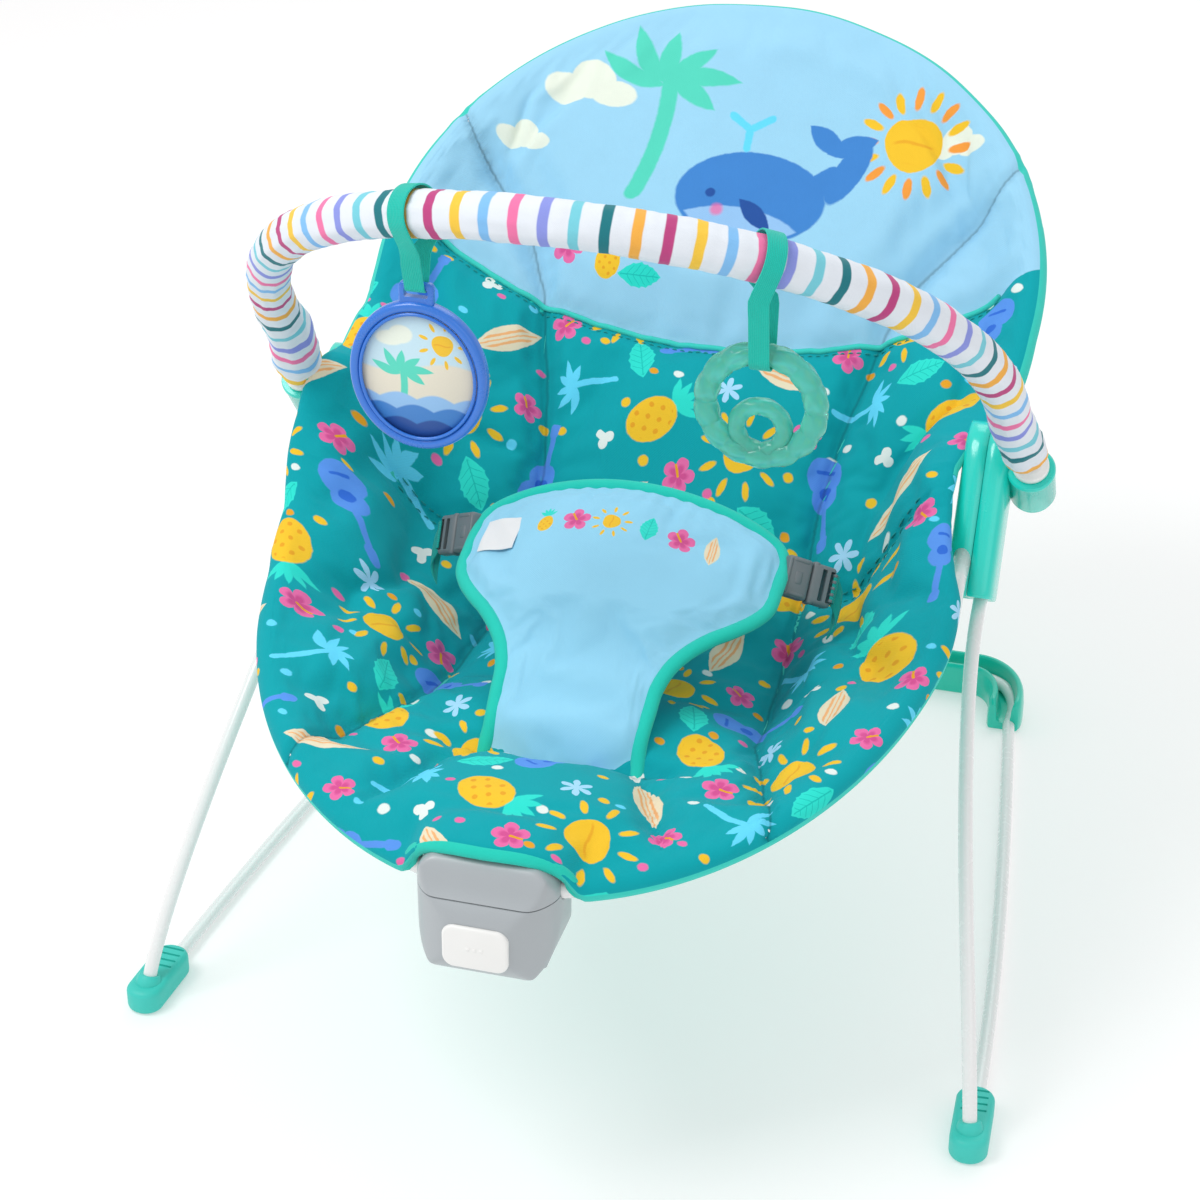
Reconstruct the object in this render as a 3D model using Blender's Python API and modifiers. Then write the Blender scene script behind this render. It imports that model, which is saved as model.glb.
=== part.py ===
"""A baby bouncer seat: a sprung wire base, two plastic hubs, a tube-framed fabric seat with a waist
harness, a removable toy bar with two hanging toys, and a battery vibration unit at the foot end.

Metres, +Z up. The seated baby faces -Y, and +X is the right-hand side seen from the front.
The origin is on the floor, under the middle of the whole object.
Distances written as "y" in the driving dimensions are measured from the line through the two
front feet, and at() moves them into the object's frame."""

import math

import bmesh
import bpy
import numpy as np
from mathutils import Matrix, Vector

# ---------------------------------------------------------------- driving dimensions
FEET_Y = -0.1930                 # where the front feet's bend line lies in the object's frame
GAP = 0.0004                     # clearance left between pieces that touch

WIRE_R = 0.0039                  # base rod radius
TUBE_R = 0.0050                  # seat frame tube radius
FOOT_X = 0.234                   # half spacing of the front feet
BOOT_ROD_Z = 0.0062              # height of the rod's centre inside a front foot
REAR_X = 0.183                   # half spacing of the base rods where they enter the rear support
REAR_Y = 0.462                   # rear run of the base rods
SUPPORT_HALF = 0.196             # half width of the rear support
SUPPORT_HEIGHT = 0.021

HUB_X = 0.1875                    # middle plane of a hub
HUB_Y, HUB_Z = 0.225, 0.262      # centre of a hub in the side view
HUB_TILT = math.radians(58)      # a hub's long axis above the horizontal
HUB_LENGTH, HUB_DEPTH, HUB_WIDTH = 0.098, 0.038, 0.0275
HUB_WALL = 0.0022

CHORD_Y, CHORD_Z = 0.210, 0.250  # where the seat plane and the back plane meet
SEAT_SLOPE = math.radians(11.8)
BACK_SLOPE = math.radians(33.4)
EDGE_INSET = 0.008               # fabric edge to tube centre
BACK_HALF = 0.200                # half width of the back's outline, and its head radius
BACK_STRAIGHT = 0.150            # length of the back before its round head starts
SEAT_HALF = 0.193                # half width of the seat's outline
SEAT_STRAIGHT = 0.060
SEAT_NOSE = 0.252                # length of the seat's half-elliptical nose
PAD_THICKNESS = 0.012

SOCKET_X, SOCKET_Y, SOCKET_Z = 0.2120, 0.228, 0.290   # mouth of a toy-bar cup
BAR_TILT = math.radians(53)      # plane of the toy bar above the horizontal
BAR_HALF = 0.203                 # half width of the toy bar's arch
BAR_LEG = 0.0605                 # straight stretch above the cup
BAR_RISE = 0.226                 # height of the arch above that stretch
BAR_BOW = -0.042                 # how far the top of the arch bends forward out of its plane
BAR_ROD_R = 0.0055
SLEEVE_R = 0.0115
PLUG_R, PLUG_LENGTH = 0.0085, 0.026
FLANGE_R = 0.0100
CUP_R, CUP_DEPTH = 0.0132, 0.029

MIRROR_X, MIRROR_DROP = -0.0707, 0.0855
MIRROR_HALF = (0.0360, 0.0400)   # half width and half height of the oval mirror frame
TEETHER_X, TEETHER_DROP = 0.100, 0.076
TEETHER_R = 0.0337
STRAP_WIDTH = 0.010

UNIT_TUBE_Y, UNIT_TUBE_Z = -0.0843, 0.1887           # where the seat tube crosses the unit
UNIT_HALF = 0.037                # half width of the vibration unit
UNIT_WALL = 0.0020
BATTERY_R, BATTERY_LENGTH = 0.0131, 0.050
BATTERY_Y, BATTERY_Z = -0.0680, 0.1628
MOTOR_Y, MOTOR_Z = -0.0905, 0.1600
CASE_SCREW_X, CASE_SCREW_Y = 0.0280, -0.0975

BUCKLE_OUT = Vector((0.80, 0.42, -0.42)).normalized()   # the way a right buckle half slides out
BUCKLE_AT = (0.094, 0.172, 0.2335)                      # middle of the female half's inner end


def at(x, y, z):
    """A point of the object's frame, with y measured from the front feet's line."""
    return Vector((x, FEET_Y + y, z))


# ---------------------------------------------------------------- scene, collections, materials
for old in list(bpy.data.objects):
    bpy.data.objects.remove(old, do_unlink=True)

parts = bpy.data.collections.new("bouncer_seat")
cutters = bpy.data.collections.new("cutters")
bpy.context.scene.collection.children.link(parts)
bpy.context.scene.collection.children.link(cutters)


def material(name, colour, roughness=0.5, metallic=0.0):
    made = bpy.data.materials.new(name)
    made.use_nodes = True
    shader = made.node_tree.nodes["Principled BSDF"]
    shader.inputs["Base Color"].default_value = (*colour, 1.0)
    shader.inputs["Roughness"].default_value = roughness
    shader.inputs["Metallic"].default_value = metallic
    made.diffuse_color = (*colour, 1.0)
    return made


WHITE_WIRE = material("white_wire", (0.86, 0.86, 0.86), 0.30, 0.1)
MINT = material("mint_plastic", (0.02, 0.62, 0.52), 0.30)
RUBBER = material("mint_rubber", (0.05, 0.60, 0.52), 0.60)
PRINT = material("teal_print", (0.0, 0.37, 0.40), 0.85)
SKY = material("sky_fabric", (0.33, 0.68, 0.86), 0.85)
STRIPED = material("striped_sleeve", (0.86, 0.86, 0.88), 0.85)
WEBBING = material("teal_webbing", (0.0, 0.40, 0.36), 0.80)
MINT_STRAP = material("mint_strap", (0.02, 0.55, 0.47), 0.75)
GREY = material("grey_plastic", (0.42, 0.45, 0.46), 0.40)
BUCKLE = material("buckle_plastic", (0.20, 0.21, 0.22), 0.45)
WHITE = material("white_plastic", (0.85, 0.85, 0.84), 0.35)
STEEL = material("screw_steel", (0.55, 0.55, 0.56), 0.30, 1.0)
BLUE = material("blue_plastic", (0.08, 0.22, 0.62), 0.35)
PICTURE = material("cream_card", (0.85, 0.82, 0.74), 0.60)
MIRROR = material("mirror_face", (0.80, 0.82, 0.84), 0.05, 1.0)
GEL = material("mint_gel", (0.15, 0.75, 0.62), 0.15)
CELL = material("battery_jacket", (0.08, 0.08, 0.09), 0.35, 0.3)
BOARD = material("circuit_green", (0.02, 0.20, 0.08), 0.50)
LABEL = material("white_label", (0.88, 0.88, 0.88), 0.90)


# ---------------------------------------------------------------- modelling helpers
def keep(obj, name, finish, group=parts):
    """Names an object, gives it its material and moves it to a collection."""
    obj.name = name
    obj.data.name = name
    if finish is not None:
        obj.data.materials.clear()
        obj.data.materials.append(finish)
    for owner in list(obj.users_collection):
        owner.objects.unlink(obj)
    group.objects.link(obj)
    if group is cutters:
        obj.hide_render = True
        obj.display_type = "WIRE"
    return obj


def smooth(obj, angle=35):
    obj.data.shade_smooth()
    obj.data.set_sharp_from_angle(angle=math.radians(angle))
    return obj


def from_bmesh(bm, name, finish, group=parts):
    """Closes a bmesh into an object with its faces pointing out."""
    bmesh.ops.recalc_face_normals(bm, faces=bm.faces)
    mesh = bpy.data.meshes.new(name)
    bm.to_mesh(mesh)
    bm.free()
    return keep(bpy.data.objects.new(name, mesh), name, finish, group)


def box(name, centre, size, finish=None, bevel=0.0, segments=2, turn=None, group=parts):
    bpy.ops.mesh.primitive_cube_add(size=1.0)
    obj = keep(bpy.context.object, name, finish, group)
    obj.data.transform(Matrix.Diagonal((*size, 1.0)))
    if bevel:
        shape = obj.modifiers.new("rounding", "BEVEL")
        shape.width = bevel
        shape.segments = segments
    obj.matrix_world = Matrix.Translation(centre) @ (turn or Matrix.Identity(4))
    return obj


def axis_turn(direction, side=(0, 0, 1)):
    """A rotation that takes local Z to a direction, with local X near the given side."""
    z_axis = Vector(direction).normalized()
    y_axis = z_axis.cross(Vector(side)).normalized()
    x_axis = y_axis.cross(z_axis)
    return Matrix((x_axis, y_axis, z_axis)).transposed().to_4x4()


def cylinder(name, centre, radius, length, direction, finish=None, sides=20, group=parts, bevel=0.0):
    bpy.ops.mesh.primitive_cylinder_add(vertices=sides, radius=radius, depth=length)
    obj = keep(bpy.context.object, name, finish, group)
    if bevel:
        shape = obj.modifiers.new("rounding", "BEVEL")
        shape.width = bevel
        shape.segments = 2
        shape.limit_method = "ANGLE"
    side = (1, 0, 0) if abs(Vector(direction).normalized().x) < 0.9 else (0, 0, 1)
    obj.matrix_world = Matrix.Translation(centre) @ axis_turn(direction, side)
    return obj


def turned(name, profile, origin, direction, finish, steps=14, group=parts):
    """A profile of (radius, height) points, from the top down the outer side, turned about an axis."""
    bm = bmesh.new()
    verts = [bm.verts.new((r, 0.0, h)) for r, h in profile]
    for a, b in zip(verts, verts[1:]):
        bm.edges.new((a, b))
    mesh = bpy.data.meshes.new(name)
    bm.to_mesh(mesh)
    bm.free()
    obj = keep(bpy.data.objects.new(name, mesh), name, finish, group)
    spin = obj.modifiers.new("turning", "SCREW")
    spin.steps = steps
    spin.render_steps = steps
    spin.use_merge_vertices = True
    spin.merge_threshold = 0.0001
    side = (1, 0, 0) if abs(Vector(direction).normalized().x) < 0.9 else (0, 0, 1)
    obj.matrix_world = Matrix.Translation(origin) @ axis_turn(direction, side)
    return obj


def rod(name, points, radius, finish, group=parts, resolution=2):
    """A wire or tube along a list of points, with filled ends."""
    curve = bpy.data.curves.new(name, "CURVE")
    curve.dimensions = "3D"
    curve.bevel_depth = radius
    curve.bevel_resolution = resolution
    curve.use_fill_caps = True
    line = curve.splines.new("POLY")
    line.points.add(len(points) - 1)
    for spot, p in zip(line.points, points):
        spot.co = (*p, 1.0)
    return keep(bpy.data.objects.new(name, curve), name, finish, group)


def as_mesh(obj):
    """Replaces a curve, or a mesh with modifiers, by the finished mesh it makes."""
    bpy.context.view_layer.update()
    graph = bpy.context.evaluated_depsgraph_get()
    mesh = bpy.data.meshes.new_from_object(obj.evaluated_get(graph))
    bm = bmesh.new()
    bm.from_mesh(mesh)
    bmesh.ops.remove_doubles(bm, verts=bm.verts, dist=0.00002)
    bmesh.ops.recalc_face_normals(bm, faces=bm.faces)
    bm.to_mesh(mesh)
    bm.free()
    name, place = obj.name, obj.matrix_world.copy()
    finish = obj.data.materials[0] if obj.data.materials else None
    group = obj.users_collection[0]
    bpy.data.objects.remove(obj, do_unlink=True)
    new = keep(bpy.data.objects.new(name, mesh), name, finish, group)
    new.matrix_world = place
    return new


def outline_solid(name, points, thickness, place, finish=None, group=parts, bevel=0.0, segments=2):
    """A flat outline in local X and Y, extruded by half its thickness each way along local Z."""
    curve = bpy.data.curves.new(name, "CURVE")
    curve.dimensions = "2D"
    curve.fill_mode = "BOTH"
    curve.extrude = thickness / 2
    line = curve.splines.new("POLY")
    line.points.add(len(points) - 1)
    line.use_cyclic_u = True
    for spot, (x, y) in zip(line.points, points):
        spot.co = (x, y, 0.0, 1.0)
    obj = keep(bpy.data.objects.new(name, curve), name, finish, group)
    obj = as_mesh(obj)
    if bevel:
        shape = obj.modifiers.new("rounding", "BEVEL")
        shape.width = bevel
        shape.segments = segments
        shape.limit_method = "ANGLE"
        shape.angle_limit = math.radians(40)
    obj.matrix_world = place
    return obj


def boolean(target, tool, operation="DIFFERENCE"):
    change = target.modifiers.new(f"{operation.lower()}_{tool.name}", "BOOLEAN")
    change.operation = operation
    change.solver = "EXACT"
    change.object = tool
    return target


def arc(cx, cy, radius, start, end, steps):
    """Points of an arc, angles in degrees."""
    angles = [math.radians(start + (end - start) * i / steps) for i in range(steps + 1)]
    return [(cx + radius * math.cos(a), cy + radius * math.sin(a)) for a in angles]


def rounded_rectangle(half_x, half_y, radius, steps=4):
    corners = ((1, 1, 0), (-1, 1, 90), (-1, -1, 180), (1, -1, 270))
    points = []
    for sx, sy, start in corners:
        points += arc(sx * (half_x - radius), sy * (half_y - radius), radius, start, start + 90, steps)
    return points


def bezier(p0, p1, p2, p3, count):
    """Points along a cubic Bezier curve."""
    made = []
    for i in range(count + 1):
        t = i / count
        u = 1 - t
        made.append(u ** 3 * p0 + 3 * u * u * t * p1 + 3 * u * t * t * p2 + t ** 3 * p3)
    return made


def flipped(points):
    """The same points on the other side of the object."""
    return [Vector((-p.x, p.y, p.z)) for p in points]


SIDES = (("right", 1), ("left", -1))


# ---------------------------------------------------------------- seat geometry
def chord(s):
    """A point of the side profile, s metres up the back from the hub, or down the seat if s < 0."""
    slope = BACK_SLOPE if s > 0 else SEAT_SLOPE
    return at(0, CHORD_Y + s * math.cos(slope), CHORD_Z + s * math.sin(slope))


def lift(s):
    """The unit vector square to the side profile, turning smoothly through the bend at the hub."""
    share = min(1.0, max(0.0, (s + 0.06) / 0.12))
    slope = SEAT_SLOPE + (BACK_SLOPE - SEAT_SLOPE) * share
    return Vector((0, -math.sin(slope), math.cos(slope)))


def outline(angle, inset=0.0):
    """The seat's outline as (x, s): angle 0 is the right side at the hub, 90 the top of the head."""
    c, sn = math.cos(math.radians(angle)), math.sin(math.radians(angle))
    if sn >= 0:
        return c * (BACK_HALF - inset), BACK_STRAIGHT + sn * (BACK_HALF - inset)
    return c * (SEAT_HALF - inset), -SEAT_STRAIGHT + sn * (SEAT_NOSE - inset)


def half_width(s, inset=0.0):
    """Half the width of the seat's outline at s."""
    if s > BACK_STRAIGHT:
        reach = (s - BACK_STRAIGHT) / (BACK_HALF - inset)
        return (BACK_HALF - inset) * math.sqrt(max(0.0, 1 - reach * reach))
    if s < -SEAT_STRAIGHT:
        reach = (-SEAT_STRAIGHT - s) / (SEAT_NOSE - inset)
        return (SEAT_HALF - inset) * math.sqrt(max(0.0, 1 - reach * reach))
    share = (s + SEAT_STRAIGHT) / (BACK_STRAIGHT + SEAT_STRAIGHT)
    return SEAT_HALF + (BACK_HALF - SEAT_HALF) * share - inset


# how deep the padded surface hangs below the chord line, along its middle
SAG_AT = (-0.31, -0.27, -0.22, -0.165, -0.10, -0.05, 0.0, 0.05, 0.10, 0.20, 0.27, 0.33, 0.35)
SAG_BY = (-0.021, -0.012, 0.010, 0.034, 0.066, 0.078, 0.078, 0.070, 0.056, 0.034, 0.020, 0.006, 0.0)


def pad_point(x, s):
    """A point of the pad's upper surface."""
    depth = float(np.interp(s, SAG_AT, SAG_BY))
    share = min(1.0, abs(x) / max(half_width(s), 0.001))
    return chord(s) + Vector((x, 0, 0)) - lift(s) * (depth * (1 - share ** 2.6) - 0.006 * (1 - share))


# ---------------------------------------------------------------- base
def floor_rod_points():
    """The right-hand base rod on the floor, from the front bend to the middle of the rear support."""
    z = 0.0045
    side = bezier(at(FOOT_X, 0.006, BOOT_ROD_Z), at(0.228, 0.15, z), at(0.206, 0.30, z),
                  at(REAR_X + 0.007, REAR_Y - 0.046, z), 10)
    corner = [at(REAR_X + 0.007 - 0.030 * (1 - math.cos(math.radians(a))),
                 REAR_Y - 0.030 + 0.030 * math.sin(math.radians(a)), z + 0.006 * min(1, a / 45))
              for a in range(0, 91, 15)]
    return side + corner + [at(0.11, REAR_Y, z + 0.006), at(0.0015, REAR_Y, z + 0.006)]


def leg_points():
    """The right-hand leg, from inside the hub down to the front bend."""
    hub_axis = Vector((0, math.cos(HUB_TILT), math.sin(HUB_TILT)))
    exit_at = at(0.1935, 0.1985, 0.2205)
    inside = exit_at + hub_axis * 0.030
    sweep = bezier(exit_at, at(0.1938, 0.120, 0.187), at(0.2280, 0.022, 0.072),
                   at(FOOT_X, 0.0005, 0.0125), 14)
    return [inside, exit_at + hub_axis * 0.008] + sweep


for side, sign in SIDES:
    run = floor_rod_points() if sign > 0 else flipped(floor_rod_points())
    rod(f"floor_rod_{side}", run, WIRE_R, WHITE_WIRE)
    run = leg_points() if sign > 0 else flipped(leg_points())
    rod(f"leg_rod_{side}", run, WIRE_R, WHITE_WIRE)


def front_foot(side, sign):
    """A rubber boot moulded round the rod's front bend, open above where the leg comes out."""
    points = rounded_rectangle(0.0105, 0.0255, 0.0100, 4)
    place = Matrix.Translation(at(sign * (FOOT_X - 0.0005), 0.0125, 0.0075)) @ \
        Matrix.Rotation(math.radians(3.5 * sign), 4, "Z")
    foot = outline_solid(f"front_foot_{side}", points, 0.0150, place, RUBBER, bevel=0.0030, segments=1)
    bore = as_mesh(rod(f"foot_bore_{side}",
                       [at(sign * FOOT_X, -0.0052, BOOT_ROD_Z),
                        at(sign * (FOOT_X - 0.0020), 0.060, BOOT_ROD_Z - 0.0006)],
                       WIRE_R + GAP, None, cutters))
    boolean(foot, bore)
    slot = box(f"foot_slot_{side}", at(sign * FOOT_X, -0.0010, 0.0140),
               (0.0110, 0.0154, 0.0160), None, 0.002, group=cutters)
    boolean(foot, slot)
    return foot


for side, sign in SIDES:
    front_foot(side, sign)


def rear_support():
    """A moulded channel on the floor that carries both rods' rear ends in a groove along its top."""
    half, depth, turn = SUPPORT_HALF, 0.013, 0.036
    outer = [(half, -0.046)] + arc(half - turn, -turn + depth, turn, 0, 90, 5)
    outer += [(-x, y) for x, y in reversed(outer)]
    inner = [(half - 0.020, -0.046)] + arc(half - turn - 0.010, -turn, turn - 0.010, 0, 90, 4)
    inner = [(-x, y) for x, y in inner] + [(x, y) for x, y in reversed(inner)]
    place = Matrix.Translation(at(0, REAR_Y, SUPPORT_HEIGHT / 2 + 0.0008))
    body = outline_solid("rear_support", outer + inner, SUPPORT_HEIGHT, place, MINT, bevel=0.0020, segments=1)
    groove_path = floor_rod_points()[8:]
    groove_path[-1] = at(0, REAR_Y, groove_path[-1].z)
    groove_path += flipped(groove_path[:-1])[::-1]
    for level, height in (("floor", 0.0), ("middle", 0.0075), ("top", 0.0150)):
        path = [p + Vector((0, 0, height)) for p in groove_path]
        boolean(body, as_mesh(rod(f"groove_{level}", path, WIRE_R + GAP, None, cutters)))
    return body


rear_support()
for side, sign in SIDES:
    box(f"rear_grip_{side}", at(sign * 0.085, REAR_Y + 0.001, 0.0004), (0.060, 0.0150, 0.0008),
        RUBBER)

# ---------------------------------------------------------------- hubs
HUB_AXIS = Vector((0, math.cos(HUB_TILT), math.sin(HUB_TILT)))
HUB_FRONT = Vector((0, -math.sin(HUB_TILT), math.cos(HUB_TILT)))
CUP_AXIS = Vector((0, -math.cos(BAR_TILT), math.sin(BAR_TILT)))


def hub_place(sign, x, along=0.0, forward=0.0):
    """A frame on a hub: local X forward, local Y up the hub, local Z out sideways."""
    centre = at(sign * x, HUB_Y, HUB_Z) + HUB_AXIS * along + HUB_FRONT * forward
    turn = Matrix((HUB_FRONT, HUB_AXIS, Vector((sign, 0, 0)))).transposed().to_4x4()
    return Matrix.Translation(centre) @ turn


def hub_outline(shrink=0.0):
    """The hub seen from the side: straight sides, a round top and a nearly square bottom."""
    half, length = HUB_DEPTH / 2 - shrink, HUB_LENGTH / 2 - shrink
    top = arc(0.0, length - half, half, 0, 180, 6)
    low = arc(-half + 0.005, -length + 0.005, 0.005, 180, 270, 1)
    low += arc(half - 0.005, -length + 0.005, 0.005, 270, 360, 1)
    return top + low


def frame_tubes():
    """The upper and lower loops of the seat frame, both ending inside the hubs."""
    back, seat = [], []
    end = chord(0.012) + Vector((HUB_X, 0, 0))
    back.append(end)
    for angle in np.linspace(0, 90, 13):
        x, s = outline(angle, EDGE_INSET)
        back.append(chord(s) + Vector((x, 0, 0)))
    back += flipped(back[:-1])[::-1]
    seat.append(chord(-0.012) + Vector((0.1822, 0, -0.0005)))
    seat.append(chord(-0.035) + Vector((0.1828, 0, 0)))
    for angle in np.linspace(-2, -90, 16):
        x, s = outline(angle, EDGE_INSET)
        seat.append(chord(s) + Vector((x, 0, 0)))
    seat += flipped(seat[:-1])[::-1]
    return back, seat


BACK_TUBE, SEAT_TUBE = frame_tubes()
rod("back_frame_tube", BACK_TUBE, TUBE_R, WHITE_WIRE)
rod("seat_frame_tube", SEAT_TUBE, TUBE_R, WHITE_WIRE)

SCREW_SPOTS = (("upper", 0.031, 0.004), ("lower", -0.034, -0.0125))    # along the hub, forward


def hub(side, sign):
    """Both shells of a hub, hollow, notched for the tubes and the leg, and the screws between them."""
    parting = HUB_X
    half_width_x = HUB_WIDTH / 2
    outer_mid = parting + (half_width_x + GAP / 2) / 2
    inner_mid = parting - (half_width_x + GAP / 2) / 2
    thick = half_width_x - GAP / 2
    outer = outline_solid(f"hub_outer_{side}", hub_outline(), thick, hub_place(sign, outer_mid), MINT)
    inner = outline_solid(f"hub_inner_{side}", hub_outline(), thick, hub_place(sign, inner_mid), MINT)
    socket = at(sign * SOCKET_X, SOCKET_Y, SOCKET_Z)
    boss = cylinder(f"cup_boss_{side}", socket - CUP_AXIS * (CUP_DEPTH + 0.003) / 2, CUP_R,
                    CUP_DEPTH + 0.003, CUP_AXIS, None, 18, cutters)
    trim = box(f"cup_trim_{side}", at(sign * (parting - 0.05 + GAP / 2), SOCKET_Y, SOCKET_Z),
               (0.1, 0.2, 0.2), group=cutters)
    boolean(boss, trim)
    boss = as_mesh(boss)
    boolean(outer, boss, "UNION")
    cavity_width = HUB_WIDTH - 2 * HUB_WALL
    cavity = outline_solid(f"hub_cavity_{side}", hub_outline(HUB_WALL), cavity_width,
                           hub_place(sign, parting), None, cutters)
    for label, along, forward in SCREW_SPOTS:
        post = cylinder(f"hub_post_{label}_{side}", hub_place(sign, parting, along, forward).translation,
                        0.0036, cavity_width + 0.002, (1, 0, 0), None, 8, cutters)
        boolean(cavity, post)
    cavity = as_mesh(cavity)
    tube_paths = {"back": BACK_TUBE[:3], "seat": SEAT_TUBE[:4], "leg": leg_points()[:5]}
    radii = {"back": TUBE_R, "seat": TUBE_R, "leg": WIRE_R}
    notches = []
    for label, path in tube_paths.items():
        run = path if sign > 0 else flipped(path)
        notches.append(as_mesh(rod(f"notch_{label}_{side}", run, radii[label] + 0.0006, None, cutters)))
    bore = cylinder(f"cup_bore_{side}", socket - CUP_AXIS * (CUP_DEPTH / 2 - 0.005), PLUG_R + 0.0003,
                    CUP_DEPTH + 0.010, CUP_AXIS, None, 16, cutters)
    for shell in (outer, inner):
        boolean(shell, cavity)
        for notch in notches:
            boolean(shell, notch)
    boolean(outer, bore)
    for label, along, forward in SCREW_SPOTS:
        start = hub_place(sign, parting, along, forward).translation
        shank_hole = cylinder(f"shank_hole_{label}_{side}", start + Vector((-sign * 0.004, 0, 0)),
                              0.0019, 0.0270, (1, 0, 0), None, 8, cutters)
        head_hole = cylinder(f"head_hole_{label}_{side}",
                             start + Vector((-sign * (half_width_x + 0.002), 0, 0)),
                             0.0032, 0.0090, (1, 0, 0), None, 8, cutters)
        for shell in (outer, inner):
            boolean(shell, shank_hole)
        boolean(inner, head_hole)
        head_top = -sign * (half_width_x - 0.0006)
        shank = cylinder(f"hub_screw_{label}_{side}", start + Vector((head_top + sign * 0.0100, 0, 0)),
                         0.0015, 0.0180, (1, 0, 0), STEEL, 8)
        head = cylinder(f"hub_screw_head_{label}_{side}", start + Vector((head_top + sign * 0.0006, 0, 0)),
                        0.0028, 0.0021, (1, 0, 0), STEEL, 10, cutters)
        boolean(shank, head, "UNION")


for side, sign in SIDES:
    hub(side, sign)

# ---------------------------------------------------------------- soft seat
def seat_pad():
    """The padded seat: one slung, quilted cover inside the frame loops, as a domed sheet."""
    rings, around = 6, 44
    bm = bmesh.new()
    centre_s = -0.02
    middle = bm.verts.new(pad_point(0, centre_s))
    rows = []
    for ring in range(1, rings + 1):
        share = (ring / rings) ** 0.85
        row = []
        for k in range(around):
            x, s = outline(360 * k / around, EDGE_INSET + TUBE_R + 0.0030)
            row.append(bm.verts.new(pad_point(x * share, centre_s + (s - centre_s) * share)))
        rows.append(row)
    for k in range(around):
        after = (k + 1) % around
        bm.faces.new((middle, rows[0][k], rows[0][after]))
        for low, high in zip(rows, rows[1:]):
            bm.faces.new((low[k], high[k], high[after], low[after]))
    pad = from_bmesh(bm, "seat_pad", PRINT)
    if pad.data.polygons[0].normal.z < 0:
        pad.data.flip_normals()
    body = pad.modifiers.new("padding", "SOLIDIFY")
    body.thickness = PAD_THICKNESS
    body.offset = -1.0
    room = box("unit_room", at(0, -0.0800, 0.1700), (2 * UNIT_HALF + 0.004, 0.0700, 0.0860), None,
               group=cutters)
    boolean(pad, room)
    for side, sign in SIDES:
        clear = box(f"hub_room_{side}", hub_place(sign, HUB_X + 0.02).translation, (0.070, 0.048, 0.110),
                    None, group=cutters, turn=Matrix.Rotation(HUB_TILT - math.pi / 2, 4, "X"))
        boolean(pad, clear)
        beside_tube = box(f"tube_room_{side}", at(sign * 0.2105, 0.175, 0.245), (0.0700, 0.0500, 0.0800),
                          None, group=cutters)
        boolean(pad, beside_tube)
    return pad


seat_pad()


def harness_width(t):
    """Half the width of the crotch and waist panel, from its crotch end at 0 to its top at 1."""
    stations = (0.0, 0.12, 0.30, 0.45, 0.58, 0.72, 0.88, 1.0)
    widths = (0.040, 0.041, 0.045, 0.056, 0.080, 0.091, 0.084, 0.060)
    return float(np.interp(t, stations, widths))


def harness_point(x, t):
    """A point of the harness panel's upper face: it rises from the crotch and wraps back at its wings."""
    low, high = at(0, 0.046, 0.1965), at(0, 0.186, 0.2740)
    bow = 0.010 * math.sin(math.pi * t)
    rise = (high - low).normalized()
    out = Vector((0, -rise.z, rise.y))
    wrap = -3.2 * x * x * (0.3 + 0.7 * t)
    return low + (high - low) * t + out * (bow + wrap) + Vector((x, 0, 0)) - rise * 1.1 * x * x


def harness_panel():
    rows, across = 12, 8
    bm = bmesh.new()
    grid = []
    for i in range(rows + 1):
        t = i / rows
        half = harness_width(t)
        grid.append([bm.verts.new(harness_point(half * (2 * j / across - 1), t))
                     for j in range(across + 1)])
    for low, high in zip(grid, grid[1:]):
        for j in range(across):
            bm.faces.new((low[j], low[j + 1], high[j + 1], high[j]))
    panel = from_bmesh(bm, "harness_panel", SKY)
    if panel.data.polygons[0].normal.z < 0:
        panel.data.flip_normals()
    body = panel.modifiers.new("padding", "SOLIDIFY")
    body.thickness = 0.0060
    body.offset = -1.0


harness_panel()


def care_label():
    """A small blank cloth label sewn on the harness panel, following its face."""
    bm = bmesh.new()
    grid = []
    for i in range(4):
        t = 0.745 + 0.045 * i
        row = []
        for j in range(4):
            x = -0.079 + 0.0060 * j
            along = harness_point(x, t + 0.01) - harness_point(x, t - 0.01)
            across = harness_point(x + 0.002, t) - harness_point(x - 0.002, t)
            row.append(bm.verts.new(harness_point(x, t) + across.cross(along).normalized() * 0.0011))
        grid.append(row)
    for low, high in zip(grid, grid[1:]):
        for j in range(3):
            bm.faces.new((low[j], low[j + 1], high[j + 1], high[j]))
    label = from_bmesh(bm, "care_label", LABEL)
    body = label.modifiers.new("thickness", "SOLIDIFY")
    body.thickness = 0.0006
    body.offset = 0.0


care_label()


# ---------------------------------------------------------------- waist straps and buckles
def buckle_frame(sign, along):
    """A frame on a buckle: local Z outward along the strap, local X across the buckle's width."""
    out = Vector((sign * BUCKLE_OUT.x, BUCKLE_OUT.y, BUCKLE_OUT.z))
    start = at(sign * BUCKLE_AT[0], BUCKLE_AT[1], BUCKLE_AT[2])
    return Matrix.Translation(start + out * along) @ axis_turn(out, (0, -0.62, -0.78))


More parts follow.
